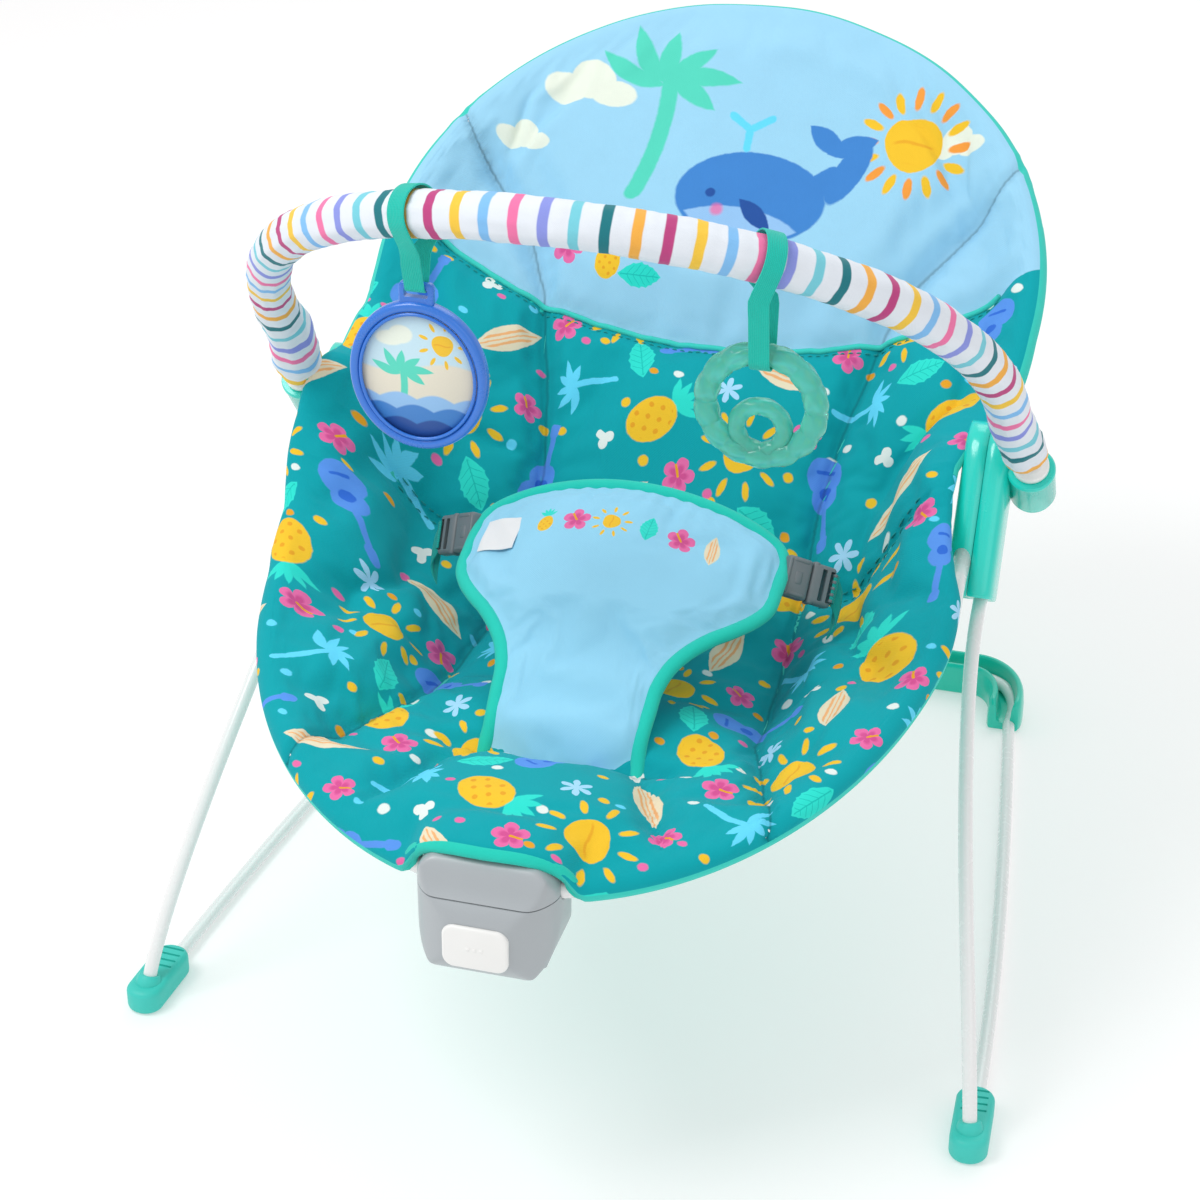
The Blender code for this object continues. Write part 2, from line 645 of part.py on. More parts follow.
def buckle(side, sign):
    """A side-release buckle: the female half hangs on the panel, the male half on the waist strap."""
    female = box(f"buckle_female_{side}", Vector(), (0.0230, 0.0085, 0.0150), BUCKLE, 0.0015)
    female.matrix_world = buckle_frame(sign, 0.0005)
    pocket = box(f"buckle_pocket_{side}", Vector(), (0.0186, 0.0050, 0.0160), None, group=cutters)
    pocket.matrix_world = buckle_frame(sign, 0.0045)
    boolean(female, pocket)
    male = box(f"buckle_male_{side}", Vector(), (0.0230, 0.0075, 0.0150), BUCKLE, 0.0012)
    male.matrix_world = buckle_frame(sign, 0.0160)
    slot = box(f"ladder_slot_{side}", Vector(), (0.0180, 0.0200, 0.0048), None, group=cutters)
    slot.matrix_world = buckle_frame(sign, 0.0195)
    boolean(male, slot)
    for name, across in (("upper", -0.0068), ("guide", 0.0), ("lower", 0.0068)):
        prong = box(f"prong_{name}_{side}", Vector(), (0.0034, 0.0034, 0.0120), None, group=cutters)
        prong.matrix_world = buckle_frame(sign, 0.0046) @ Matrix.Translation((across, 0, 0))
        boolean(male, prong, "UNION")


def waist_strap(side, sign):
    """Flat webbing from the crease beside the seat up to the male half's ladder slot."""
    frame = buckle_frame(sign, 0.0247)
    top = frame.translation
    low = at(sign * 0.1140, 0.1755, 0.2045)
    across = frame.to_3x3() @ Vector((1, 0, 0))
    bm = bmesh.new()
    rows = []
    for i in range(5):
        t = i / 4
        mid = top.lerp(low, t) + Vector((sign * 0.004 * math.sin(math.pi * t), 0, 0))
        rows.append([bm.verts.new(mid + across * 0.0085 * e) for e in (-1, 1)])
    for low_row, high_row in zip(rows, rows[1:]):
        bm.faces.new((low_row[0], low_row[1], high_row[1], high_row[0]))
    strap = from_bmesh(bm, f"waist_strap_{side}", WEBBING)
    body = strap.modifiers.new("thickness", "SOLIDIFY")
    body.thickness = 0.0014
    body.offset = 0.0


for side, sign in SIDES:
    buckle(side, sign)
    waist_strap(side, sign)


# ---------------------------------------------------------------- toy bar
def bar_point(share):
    """A point of the toy bar's centre line: 0 at the right cup, 0.5 at the top, 1 at the left cup."""
    mirrored = share > 0.5
    t = 2 * (1 - share if mirrored else share)
    split = 0.20
    if t < split:
        x = SOCKET_X + (BAR_HALF - SOCKET_X) * t / split
        up = BAR_LEG * t / split
    else:
        angle = (t - split) / (1 - split) * math.pi / 2
        x = BAR_HALF * math.cos(angle) ** (2 / 2.06)
        up = BAR_LEG + BAR_RISE * math.sin(angle) ** (2 / 2.06)
    bow = BAR_BOW * (up / (BAR_LEG + BAR_RISE)) ** 2
    y = SOCKET_Y - math.cos(BAR_TILT) * up + math.sin(BAR_TILT) * bow
    z = SOCKET_Z + math.sin(BAR_TILT) * up + math.cos(BAR_TILT) * bow
    return at(-x if mirrored else x, y, z)


def bar_at_x(x):
    """The point of the toy bar above a given x."""
    low, high = 0.1, 0.9
    for _ in range(40):
        mid = (low + high) / 2
        if bar_point(mid).x > x:
            low = mid
        else:
            high = mid
    return bar_point((low + high) / 2)


BAR_STEPS = 30
rod("toy_bar_rod", [bar_point(0.008 + 0.984 * i / BAR_STEPS) for i in range(BAR_STEPS + 1)],
    BAR_ROD_R, WHITE)
sleeve = as_mesh(rod("toy_bar_sleeve", [bar_point(0.022 + 0.956 * i / 28) for i in range(29)],
                     SLEEVE_R, STRIPED))
lining = as_mesh(rod("sleeve_lining", [bar_point(0.015 + 0.970 * i / 28) for i in range(29)],
                     BAR_ROD_R + 0.0006, None, cutters))
boolean(sleeve, lining)

for side, sign in SIDES:
    mouth = at(sign * SOCKET_X, SOCKET_Y, SOCKET_Z)
    pocket = BAR_ROD_R + 0.0012
    profile = [(0.0, 0.0004), (pocket, 0.0004), (pocket, 0.0052), (FLANGE_R - 0.0005, 0.0052),
               (FLANGE_R, 0.0044), (FLANGE_R, 0.0012), (FLANGE_R - 0.0008, 0.0005), (PLUG_R, 0.0005),
               (PLUG_R, -PLUG_LENGTH + 0.002), (PLUG_R - 0.0015, -PLUG_LENGTH), (0.0, -PLUG_LENGTH)]
    turned(f"toy_bar_plug_{side}", profile, mouth, CUP_AXIS, WHITE)


# ---------------------------------------------------------------- hanging toys
def strap_loop(name, x, low, grip):
    """A closed webbing loop over the toy bar at x and round a toy's top, whose middle hangs at low."""
    hang = bar_at_x(x)
    lean_x = (bar_at_x(x + 0.004) - bar_at_x(x - 0.004)).normalized()
    lean_z = (Vector((0, 0, 1)) - lean_x * lean_x.z).normalized()
    lean_y = lean_z.cross(lean_x)
    loop = arc(0.0, 0.0, SLEEVE_R + 0.0013, -15, 195, 12) + arc(0.0, -low, grip, 180, 360, 6)
    bm = bmesh.new()
    rows = []
    for y, z in loop:
        share = min(1.0, max(0.0, (-z - 0.010) / 0.012))
        along = lean_x.lerp(Vector((1, 0, 0)), share).normalized()
        leaning = lean_y * y + lean_z * z
        middle = hang + leaning.lerp(Vector((0, y, z)), share)
        rows.append([bm.verts.new(middle + along * e * STRAP_WIDTH / 2) for e in (-1, 1)])
    for here, after in zip(rows, rows[1:] + rows[:1]):
        bm.faces.new((here[0], here[1], after[1], after[0]))
    strap = from_bmesh(bm, name, MINT_STRAP)
    body = strap.modifiers.new("thickness", "SOLIDIFY")
    body.thickness = 0.0010
    body.offset = 0.0


def oval(half_x, half_z, count=28):
    return [(half_x * math.cos(2 * math.pi * k / count), half_z * math.sin(2 * math.pi * k / count))
            for k in range(count)]


UPRIGHT = Matrix.Rotation(math.radians(90), 4, "X")


def mirror_toy():
    """An oval frame on its strap, with a picture card in front and a mirror sheet behind."""
    hang = bar_at_x(MIRROR_X)
    middle = hang - Vector((0, 0, MIRROR_DROP))
    half_x, half_z = MIRROR_HALF
    place = Matrix.Translation(middle) @ UPRIGHT
    frame = outline_solid("mirror_frame", oval(half_x, half_z), 0.0080, place, BLUE, bevel=0.0016, segments=1)
    tab = box("mirror_tab", middle + Vector((0, 0, half_z + 0.0035)), (0.018, 0.0040, 0.0130), None,
              0.0010, group=cutters)
    boolean(frame, tab, "UNION")
    window = outline_solid("mirror_window", oval(half_x - 0.0055, half_z - 0.0055), 0.0200, place, None,
                           cutters)
    boolean(frame, window)
    slot = box("mirror_slot", middle + Vector((0, 0, half_z + 0.0045)), (0.0125, 0.0200, 0.0045), None,
               group=cutters)
    boolean(frame, slot)
    inner = oval(half_x - 0.0055 - GAP, half_z - 0.0055 - GAP)
    shift = Matrix.Translation((0, -0.0011, 0))
    outline_solid("mirror_card", inner, 0.0016, shift @ place, PICTURE)
    shift = Matrix.Translation((0, 0.0009, 0))
    outline_solid("mirror_sheet", inner, 0.0016, shift @ place, MIRROR)
    strap_loop("mirror_strap", MIRROR_X, MIRROR_DROP - half_z - 0.0089, 0.0036)


def teether_toy():
    """A moulded ring with a smaller ring joined inside its lower half, on its strap."""
    hang = bar_at_x(TEETHER_X)
    middle = hang - Vector((0, 0, TEETHER_DROP))
    tube = 0.0062
    bpy.ops.mesh.primitive_torus_add(major_segments=24, minor_segments=8,
                                     major_radius=TEETHER_R - tube, minor_radius=tube)
    ring = keep(bpy.context.object, "teether_ring", GEL)
    ring.matrix_world = Matrix.Translation(middle) @ UPRIGHT
    bpy.ops.mesh.primitive_torus_add(major_segments=14, minor_segments=6,
                                     major_radius=0.0120, minor_radius=0.0045)
    small = keep(bpy.context.object, "teether_inner", None, cutters)
    small.matrix_world = Matrix.Translation(middle - Vector((0, 0, 0.0125))) @ UPRIGHT
    boolean(ring, small, "UNION")
    strap_loop("teether_strap", TEETHER_X, TEETHER_DROP - TEETHER_R + tube, tube + 0.0013)


mirror_toy()
teether_toy()


# ---------------------------------------------------------------- vibration unit
def unit_side_profile():
    """The unit seen from the side, as (y, z): a sloped top, a crease, a bulged face, a rounded back."""
    return [(-0.0975, 0.2065), (-0.1030, 0.1930), (-0.1115, 0.1840), (-0.1135, 0.1660),
            (-0.1095, 0.1500), (-0.1000, 0.1430), (-0.0560, 0.1455), (-0.0505, 0.1530),
            (-0.0495, 0.1880), (-0.0550, 0.1990), (-0.0700, 0.2060)]


def unit_front_outline(shrink=0.0):
    """The unit seen from the front, as (x, z): widest at its middle and rounded below."""
    half = UNIT_HALF - shrink
    right = [(0.020, 0.2120 - shrink), (half - 0.008, 0.2050 - shrink), (half - 0.002, 0.1970),
             (half, 0.1850), (half - 0.0005, 0.1700), (half - 0.003, 0.1560),
             (half - 0.008, 0.1480 + shrink), (half - 0.018, 0.1385 + shrink)]
    return right + [(-x, z) for x, z in reversed(right)]


def unit_block(name, shrink, group=parts, finish=None):
    """The unit's outer form, or its cavity when shrunk: a side view crossed with a front view."""
    profile = unit_side_profile()
    centre_y = sum(y for y, _ in profile) / len(profile)
    centre_z = sum(z for _, z in profile) / len(profile)
    scale_y = 1 - 2 * shrink / 0.064
    scale_z = 1 - 2 * shrink / 0.0635
    drawn = [(centre_y + (y - centre_y) * scale_y, centre_z + (z - centre_z) * scale_z)
             for y, z in profile]
    side_turn = Matrix((Vector((0, 1, 0)), Vector((0, 0, 1)), Vector((1, 0, 0)))).transposed().to_4x4()
    side_place = Matrix.Translation((0, FEET_Y, 0)) @ side_turn
    width = 0.12
    block = outline_solid(name, drawn, width, side_place, finish, group)
    front_turn = Matrix((Vector((1, 0, 0)), Vector((0, 0, 1)), Vector((0, -1, 0)))).transposed().to_4x4()
    front_place = Matrix.Translation(at(0, -0.08, 0)) @ front_turn
    front = outline_solid(f"{name}_front", unit_front_outline(shrink), 0.12, front_place, None, cutters)
    boolean(block, front, "INTERSECT")
    return as_mesh(block)


def vibration_unit():
    outer = unit_block("unit_outer", 0.0, cutters)
    cavity = unit_block("unit_cavity", UNIT_WALL, cutters)
    split_z = UNIT_TUBE_Z
    tube = [p for p in SEAT_TUBE if abs(p.x) < 0.075]
    channel = as_mesh(rod("unit_channel", tube, TUBE_R + GAP, None, cutters))
    collar = as_mesh(rod("unit_collar", tube, TUBE_R + 0.0022, None, cutters))
    boolean(cavity, collar)
    for label, sign in SIDES:
        boolean(cavity, cylinder(f"case_post_{label}", at(sign * CASE_SCREW_X, CASE_SCREW_Y, 0.1750),
                                 0.0046, 0.0800, (0, 0, 1), None, 8, cutters))
    cavity = as_mesh(cavity)
    shells = {}
    for name, low, high in (("unit_upper_casing", split_z + GAP / 2, split_z + 0.06),
                            ("unit_lower_casing", split_z - 0.10, split_z - GAP / 2)):
        shell = outer.copy()
        shell.data = outer.data.copy()
        parts.objects.link(shell)
        shell = keep(shell, name, GREY)
        shell.hide_render = False
        shell.display_type = "TEXTURED"
        slab = box(f"{name}_slab", at(0, -0.08, (low + high) / 2), (0.2, 0.2, high - low), None,
                   group=cutters)
        boolean(shell, slab, "INTERSECT")
        boolean(shell, cavity)
        boolean(shell, channel)
        shells[name] = shell
    lower = shells["unit_lower_casing"]

    # the button and the rounded hole in the bulged face that it travels in
    button_z = 0.1665
    face_turn = Matrix((Vector((1, 0, 0)), Vector((0, 0, 1)), Vector((0, -1, 0)))).transposed().to_4x4()
    hole_place = Matrix.Translation(at(0, -0.112, button_z)) @ face_turn
    hole = outline_solid("button_hole", rounded_rectangle(0.0158, 0.0123, 0.006, 4), 0.012, hole_place,
                         None, cutters)
    boolean(lower, hole)
    button_place = Matrix.Translation(at(0, -0.1112, button_z)) @ face_turn
    outline_solid("power_button", rounded_rectangle(0.0153, 0.0118, 0.0056, 4), 0.0070,
                  button_place, WHITE, bevel=0.0012)
    board_size = (0.044, 0.0012, 0.030)
    box("circuit_board", at(0, -0.1030, 0.1660), board_size, BOARD)

    # battery, its two contacts and the sliding door under it
    cell_at = at(0, BATTERY_Y, BATTERY_Z)
    cylinder("battery", cell_at, BATTERY_R, BATTERY_LENGTH, (1, 0, 0), CELL, 24)
    for label, sign in (("positive", 1), ("negative", -1)):
        box(f"battery_contact_{label}", cell_at + Vector((sign * (BATTERY_LENGTH / 2 + 0.0012), 0, 0)),
            (0.0008, 0.0140, 0.0160), STEEL)
    door_size = (0.0570, 0.0330, 0.0016)
    door_at = at(0, -0.0710, 0.1437)
    box("door_opening", door_at, (0.0540, 0.0270, 0.0200), None, group=cutters)
    boolean(lower, bpy.data.objects["door_opening"])
    door_turn = Matrix.Rotation(math.atan2(0.0025, 0.044), 4, "X")
    door_centre = at(0, -0.0725, 0.1434)
    box("battery_door", door_centre, door_size, GREY, turn=door_turn)
    door = bpy.data.objects["battery_door"]
    door_up = door_turn.to_3x3() @ Vector((0, 0, 1))
    screw_at = door_centre + door_turn.to_3x3() @ Vector((0, -0.0145, 0))
    screw_hole = cylinder("door_screw_hole", screw_at, 0.0019, 0.0200, door_up, None, 12, cutters)
    boolean(door, screw_hole)
    boolean(lower, screw_hole)
    screw = cylinder("door_screw", screw_at - door_up * 0.0018, 0.0030, 0.0012, door_up, STEEL, 14)
    shank = cylinder("door_screw_shank", screw_at + door_up * 0.0012, 0.0015, 0.0060, door_up, None, 12,
                     cutters)
    boolean(screw, shank, "UNION")

    # motor with its off-centre weight
    motor_at = at(-0.013, MOTOR_Y, MOTOR_Z)
    cylinder("vibration_motor", motor_at, 0.0060, 0.0200, (1, 0, 0), STEEL, 18)
    weight_at = motor_at + Vector((0.0145, 0, 0))
    weight_turn = Matrix((Vector((0, 1, 0)), Vector((0, 0, 1)), Vector((1, 0, 0)))).transposed().to_4x4()
    half_disc = arc(0, 0, 0.0056, 180, 360, 10) + arc(0, 0, 0.0022, 0, 180, 5)
    outline_solid("motor_weight", half_disc, 0.0055, Matrix.Translation(weight_at) @ weight_turn, STEEL)

    # two screws that close the casing from below
    lower_shell, upper_shell = shells["unit_lower_casing"], shells["unit_upper_casing"]
    for label, sign in SIDES:
        spot = at(sign * CASE_SCREW_X, CASE_SCREW_Y, 0.0)
        shank_hole = cylinder(f"case_shank_hole_{label}", spot + Vector((0, 0, 0.1800)), 0.0018, 0.0400,
                              (0, 0, 1), None, 8, cutters)
        head_hole = cylinder(f"case_head_hole_{label}", spot + Vector((0, 0, 0.1480)), 0.0030, 0.0240,
                             (0, 0, 1), None, 8, cutters)
        boolean(lower_shell, shank_hole)
        boolean(upper_shell, shank_hole)
        boolean(lower_shell, head_hole)
        screw = cylinder(f"case_screw_{label}", spot + Vector((0, 0, 0.1770)), 0.0014, 0.0380, (0, 0, 1),
                         STEEL, 8)
        head = cylinder(f"case_screw_head_{label}", spot + Vector((0, 0, 0.1590)), 0.0026, 0.0020,
                        (0, 0, 1), STEEL, 8, cutters)
        boolean(screw, head, "UNION")


vibration_unit()

for made in parts.objects:
    if made.type == "MESH":
        smooth(made)
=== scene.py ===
"""The finished looks of the baby bouncer seat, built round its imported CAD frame.

Metres, +Z up. The seated baby faces -Y, and +X is the right-hand side seen from the front.
Positions written as "y" are measured from the line through the front feet, as in the CAD source."""

import math

import bmesh
import bpy
import numpy as np
from mathutils import Matrix, Vector, noise
from mathutils.bvhtree import BVHTree


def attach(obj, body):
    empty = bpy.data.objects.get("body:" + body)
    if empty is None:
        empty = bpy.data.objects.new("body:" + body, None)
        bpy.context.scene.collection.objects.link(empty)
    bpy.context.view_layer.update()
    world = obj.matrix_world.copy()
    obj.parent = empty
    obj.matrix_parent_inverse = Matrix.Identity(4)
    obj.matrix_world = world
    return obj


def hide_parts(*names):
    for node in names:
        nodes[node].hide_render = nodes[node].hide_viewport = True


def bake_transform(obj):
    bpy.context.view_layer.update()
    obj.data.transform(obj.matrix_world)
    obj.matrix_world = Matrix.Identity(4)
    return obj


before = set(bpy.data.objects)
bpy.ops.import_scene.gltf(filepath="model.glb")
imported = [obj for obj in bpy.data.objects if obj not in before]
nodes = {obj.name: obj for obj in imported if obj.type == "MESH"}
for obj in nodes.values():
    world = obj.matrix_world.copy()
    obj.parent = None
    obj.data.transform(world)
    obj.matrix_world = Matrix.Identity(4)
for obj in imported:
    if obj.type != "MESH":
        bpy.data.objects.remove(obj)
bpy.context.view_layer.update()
SIDES = (("right", 1), ("left", -1))

# ---------------------------------------------------------------- shared dimensions
FEET_Y = -0.1930
TUBE_R = 0.0050
WIRE_R = 0.0039
FOOT_X, BOOT_ROD_Z = 0.234, 0.0062
REAR_X, REAR_Y = 0.183, 0.462
SUPPORT_HALF, SUPPORT_HEIGHT = 0.196, 0.021
HUB_X, HUB_Y, HUB_Z = 0.1875, 0.225, 0.262
HUB_TILT = math.radians(58)
HUB_LENGTH, HUB_DEPTH, HUB_WIDTH = 0.098, 0.038, 0.0275
CHORD_Y, CHORD_Z = 0.210, 0.250
SEAT_SLOPE, BACK_SLOPE = math.radians(11.8), math.radians(33.4)
BACK_HALF, BACK_STRAIGHT = 0.200, 0.150
SEAT_HALF, SEAT_STRAIGHT, SEAT_NOSE = 0.193, 0.060, 0.252
TUBE_INSET = 0.008
SOCKET_X, SOCKET_Y, SOCKET_Z = 0.2120, 0.228, 0.290
BAR_TILT = math.radians(53)
BAR_HALF, BAR_LEG, BAR_RISE, BAR_BOW = 0.203, 0.0605, 0.226, -0.042
CUP_R = 0.0132
MIRROR_X, MIRROR_DROP = -0.0707, 0.0855
MIRROR_HALF = (0.0360, 0.0400)
TEETHER_X, TEETHER_DROP, TEETHER_R = 0.100, 0.076, 0.0337
HUB_AXIS = Vector((0, math.cos(HUB_TILT), math.sin(HUB_TILT)))
HUB_FRONT = Vector((0, -math.sin(HUB_TILT), math.cos(HUB_TILT)))
CUP_AXIS = Vector((0, -math.cos(BAR_TILT), math.sin(BAR_TILT)))


def at(x, y, z):
    """A point of the object's frame, with y measured from the front feet's line."""
    return Vector((x, FEET_Y + y, z))


# ---------------------------------------------------------------- camera, floor and light
def make_stage():
    camera = bpy.data.cameras.new("camera")
    camera.lens, camera.sensor_width = 88.33, 36.0
    camera.clip_start, camera.clip_end = 0.05, 30.0
    holder = bpy.data.objects.new("camera", camera)
    bpy.context.scene.collection.objects.link(holder)
    azimuth, elevation = math.radians(15.77), math.radians(30.0)
    look = Vector((-math.sin(azimuth) * math.cos(elevation), math.cos(azimuth) * math.cos(elevation),
                   -math.sin(elevation)))
    side = Vector((math.cos(azimuth), math.sin(azimuth), 0.0))
    turn = Matrix((side, side.cross(look), -look)).transposed()
    holder.matrix_world = Matrix.Translation((0.3739, FEET_Y - 1.2127, 1.0327)) @ turn.to_4x4()
    bpy.context.scene.camera = holder

    bpy.ops.mesh.primitive_plane_add(size=12.0, location=(0, 0, 0))
    floor = bpy.context.object
    floor.name = "floor"
    paper = plain("floor_paper", (0.66, 0.66, 0.66), 0.9)
    glow = paper.node_tree.nodes["Principled BSDF"]
    glow.inputs["Emission Color"].default_value = (1.0, 0.985, 0.985, 1.0)
    glow.inputs["Emission Strength"].default_value = 0.36
    floor.data.materials.append(paper)

    world = bpy.data.worlds.new("studio")
    bpy.context.scene.world = world
    world.use_nodes = True
    world.node_tree.nodes["Background"].inputs["Color"].default_value = (1.0, 1.0, 1.0, 1.0)
    world.node_tree.nodes["Background"].inputs["Strength"].default_value = 0.70
    for name, place, size, power in (("key", (-1.0, -0.8, 2.0), 1.0, 21.0),
                                     ("fill", (1.6, -1.2, 1.5), 1.6, 5.0),
                                     ("back", (0.2, 1.6, 1.9), 1.4, 9.0)):
        lamp = bpy.data.lights.new(name, "AREA")
        lamp.energy, lamp.size = power, size
        lamp_holder = bpy.data.objects.new(name, lamp)
        bpy.context.scene.collection.objects.link(lamp_holder)
        aim = (Vector((0, 0, 0.2)) - Vector(place)).to_track_quat("-Z", "Y")
        lamp_holder.matrix_world = Matrix.Translation(place) @ aim.to_matrix().to_4x4()
    bpy.context.scene.view_settings.view_transform = "Standard"


# ---------------------------------------------------------------- material building blocks
def linear(r, g, b):
    """A colour given as 0 to 255 on a screen, as the linear numbers a shader takes."""
    return tuple((c / 255 / 12.92) if c <= 10 else ((c / 255 + 0.055) / 1.055) ** 2.4 for c in (r, g, b))


class Num:
    """A number in a material's node tree; arithmetic on it adds Math nodes."""

    def __init__(self, tree, socket):
        self.tree, self.socket = tree, socket

    def op(self, operation, *others, clamp=False):
        node = self.tree.nodes.new("ShaderNodeMath")
        node.operation = operation
        node.use_clamp = clamp
        feed(self.tree, node.inputs[0], self)
        for socket, value in zip(node.inputs[1:], others):
            feed(self.tree, socket, value)
        return Num(self.tree, node.outputs[0])

    def __add__(self, other):
        return self.op("ADD", other)

    def __radd__(self, other):
        return self.op("ADD", other)

    def __sub__(self, other):
        return self.op("SUBTRACT", other)

    def __rsub__(self, other):
        return self.op("MULTIPLY", -1.0) + other

    def __mul__(self, other):
        return self.op("MULTIPLY", other)

    def __rmul__(self, other):
        return self.op("MULTIPLY", other)

    def __truediv__(self, other):
        return self.op("DIVIDE", other)

    def __neg__(self):
        return self.op("MULTIPLY", -1.0)

    def __abs__(self):
        return self.op("ABSOLUTE")

    def min(self, other):
        return self.op("MINIMUM", other)

    def max(self, other):
        return self.op("MAXIMUM", other)

    def root(self):
        return self.op("SQRT")

    def sin(self):
        return self.op("SINE")

    def cos(self):
        return self.op("COSINE")

    def floor(self):
        return self.op("FLOOR")

    def clamped(self):
        return self.op("ADD", 0.0, clamp=True)


def feed(tree, socket, value):
    """Links a Num or a socket to an input, or sets a plain number or colour on it."""
    if isinstance(value, Num):
        value = value.socket
    if isinstance(value, bpy.types.NodeSocket):
        tree.links.new(value, socket)
    elif isinstance(value, tuple):
        socket.default_value = (*value, 1.0) if len(value) == 3 and len(socket.default_value) == 4 else value
    else:
        socket.default_value = value


def length_of(x, y):
    return (x * x + y * y).root()


def angle_of(x, y):
    return y.op("ARCTAN2", x)


def shape_mask(distance, softness=0.02):
    """1 inside a shape and 0 outside, from its signed distance."""
    return (0.5 - distance / softness).clamped()


def mixed(tree, below, above, mask):
    """The colour above where the mask is 1, and the colour below where it is 0."""
    node = tree.nodes.new("ShaderNodeMix")
    node.data_type = "RGBA"
    feed(tree, node.inputs["Factor"], mask)
    feed(tree, node.inputs[6], below)
    feed(tree, node.inputs[7], above)
    return node.outputs[2]


def new_material(name, colour, roughness=0.5, metallic=0.0):
    made = bpy.data.materials.new(name)
    made.use_nodes = True
    made.diffuse_color = (*colour, 1.0)
    tree = made.node_tree
    shader = tree.nodes["Principled BSDF"]
    shader.inputs["Base Color"].default_value = (*colour, 1.0)
    shader.inputs["Roughness"].default_value = roughness
    shader.inputs["Metallic"].default_value = metallic
    return made, tree, shader


def plain(name, colour, roughness):
    return new_material(name, colour, roughness)[0]


def object_place(tree):
    return tree.nodes.new("ShaderNodeTexCoord").outputs["Object"]


def noise_number(tree, place, scale, detail=3.0, roughness=0.5):
    node = tree.nodes.new("ShaderNodeTexNoise")
    node.inputs["Scale"].default_value = scale
    node.inputs["Detail"].default_value = detail
    node.inputs["Roughness"].default_value = roughness
    feed(tree, node.inputs["Vector"], place)
    return Num(tree, node.outputs["Fac"])


def bumped(tree, shader, height, strength, distance):
    node = tree.nodes.new("ShaderNodeBump")
    node.inputs["Strength"].default_value = strength
    node.inputs["Distance"].default_value = distance
    feed(tree, node.inputs["Height"], height)
    tree.links.new(node.outputs["Normal"], shader.inputs["Normal"])
    return node


def scaled_colour(tree, colour, amount):
    """A colour made a little lighter or darker by a number near 1."""
    node = tree.nodes.new("ShaderNodeHueSaturation")
    feed(tree, node.inputs["Color"], colour)
    feed(tree, node.inputs["Value"], amount)
    return node.outputs["Color"]


def flat_place(tree):
    """The cloth's own flat coordinates, in metres, as two numbers."""
    node = tree.nodes.new("ShaderNodeUVMap")
    node.uv_map = "flat"
    split = tree.nodes.new("ShaderNodeSeparateXYZ")
    tree.links.new(node.outputs["UV"], split.inputs[0])
    return Num(tree, split.outputs[0]), Num(tree, split.outputs[1]), node.outputs["UV"]


def weave(u, v, pitch):
    """The height of a plain weave: two crossed sets of threads."""
    turn = 2 * math.pi / pitch
    return (u * turn).sin() * (v * turn).sin()


# ---------------------------------------------------------------- materials
def moulded(name, colour, roughness, coat=0.0, grain=900.0, strength=0.05):
    """Moulded plastic: a faint texture in its gloss and its surface."""
    made, tree, shader = new_material(name, colour, roughness)
    place = object_place(tree)
    cloud = noise_number(tree, place, 26.0, 4.0)
    fine = noise_number(tree, place, grain, 2.0)
    feed(tree, shader.inputs["Base Color"], scaled_colour(tree, colour, 0.97 + cloud * 0.06))
    feed(tree, shader.inputs["Roughness"], (cloud * 0.12 + fine * 0.05 + (roughness - 0.08)).clamped())
    shader.inputs["Coat Weight"].default_value = coat
    shader.inputs["Coat Roughness"].default_value = 0.12
    bumped(tree, shader, fine, strength, 0.0004)
    return made


def coated_wire():
    made, tree, shader = new_material("wire_powder_coat", linear(236, 236, 236), 0.28)
    place = object_place(tree)
    peel = noise_number(tree, place, 260.0, 1.0)
    cloud = noise_number(tree, place, 18.0, 3.0)
    feed(tree, shader.inputs["Base Color"],
         scaled_colour(tree, linear(236, 236, 236), 0.98 + cloud * 0.04))
    feed(tree, shader.inputs["Roughness"], (peel * 0.12 + 0.20).clamped())
    shader.inputs["Coat Weight"].default_value = 0.4
    shader.inputs["Coat Roughness"].default_value = 0.10
    bumped(tree, shader, peel, 0.04, 0.0002)
    return made


def steel():
    made, tree, shader = new_material("zinc_steel", (0.60, 0.60, 0.62), 0.30, 1.0)
    place = object_place(tree)
    brushed = noise_number(tree, place, 700.0, 3.0)
    feed(tree, shader.inputs["Roughness"], (brushed * 0.2 + 0.22).clamped())
    bumped(tree, shader, brushed, 0.08, 0.0002)
    return made


def cloth(name, colour, pitch=0.0009, roughness=0.85, variation=0.10, strength=0.35):
    """Plain woven cloth on flat coordinates."""
    made, tree, shader = new_material(name, colour, roughness)
    u, v, uv = flat_place(tree)
    threads = weave(u, v, pitch)
    cloud = noise_number(tree, uv, 55.0, 4.0)
    fine = noise_number(tree, uv, 900.0, 2.0)
    amount = 1.0 - variation / 2 + cloud * variation + threads * 0.03
    feed(tree, shader.inputs["Base Color"], scaled_colour(tree, colour, amount))
    feed(tree, shader.inputs["Roughness"], (fine * 0.2 + roughness - 0.1).clamped())
    shader.inputs["Sheen Weight"].default_value = 0.12
    shader.inputs["Sheen Roughness"].default_value = 0.5
    shader.inputs["Specular IOR Level"].default_value = 0.25
    bumped(tree, shader, threads * 0.5 + fine * 0.6, strength, 0.0003)
    return made


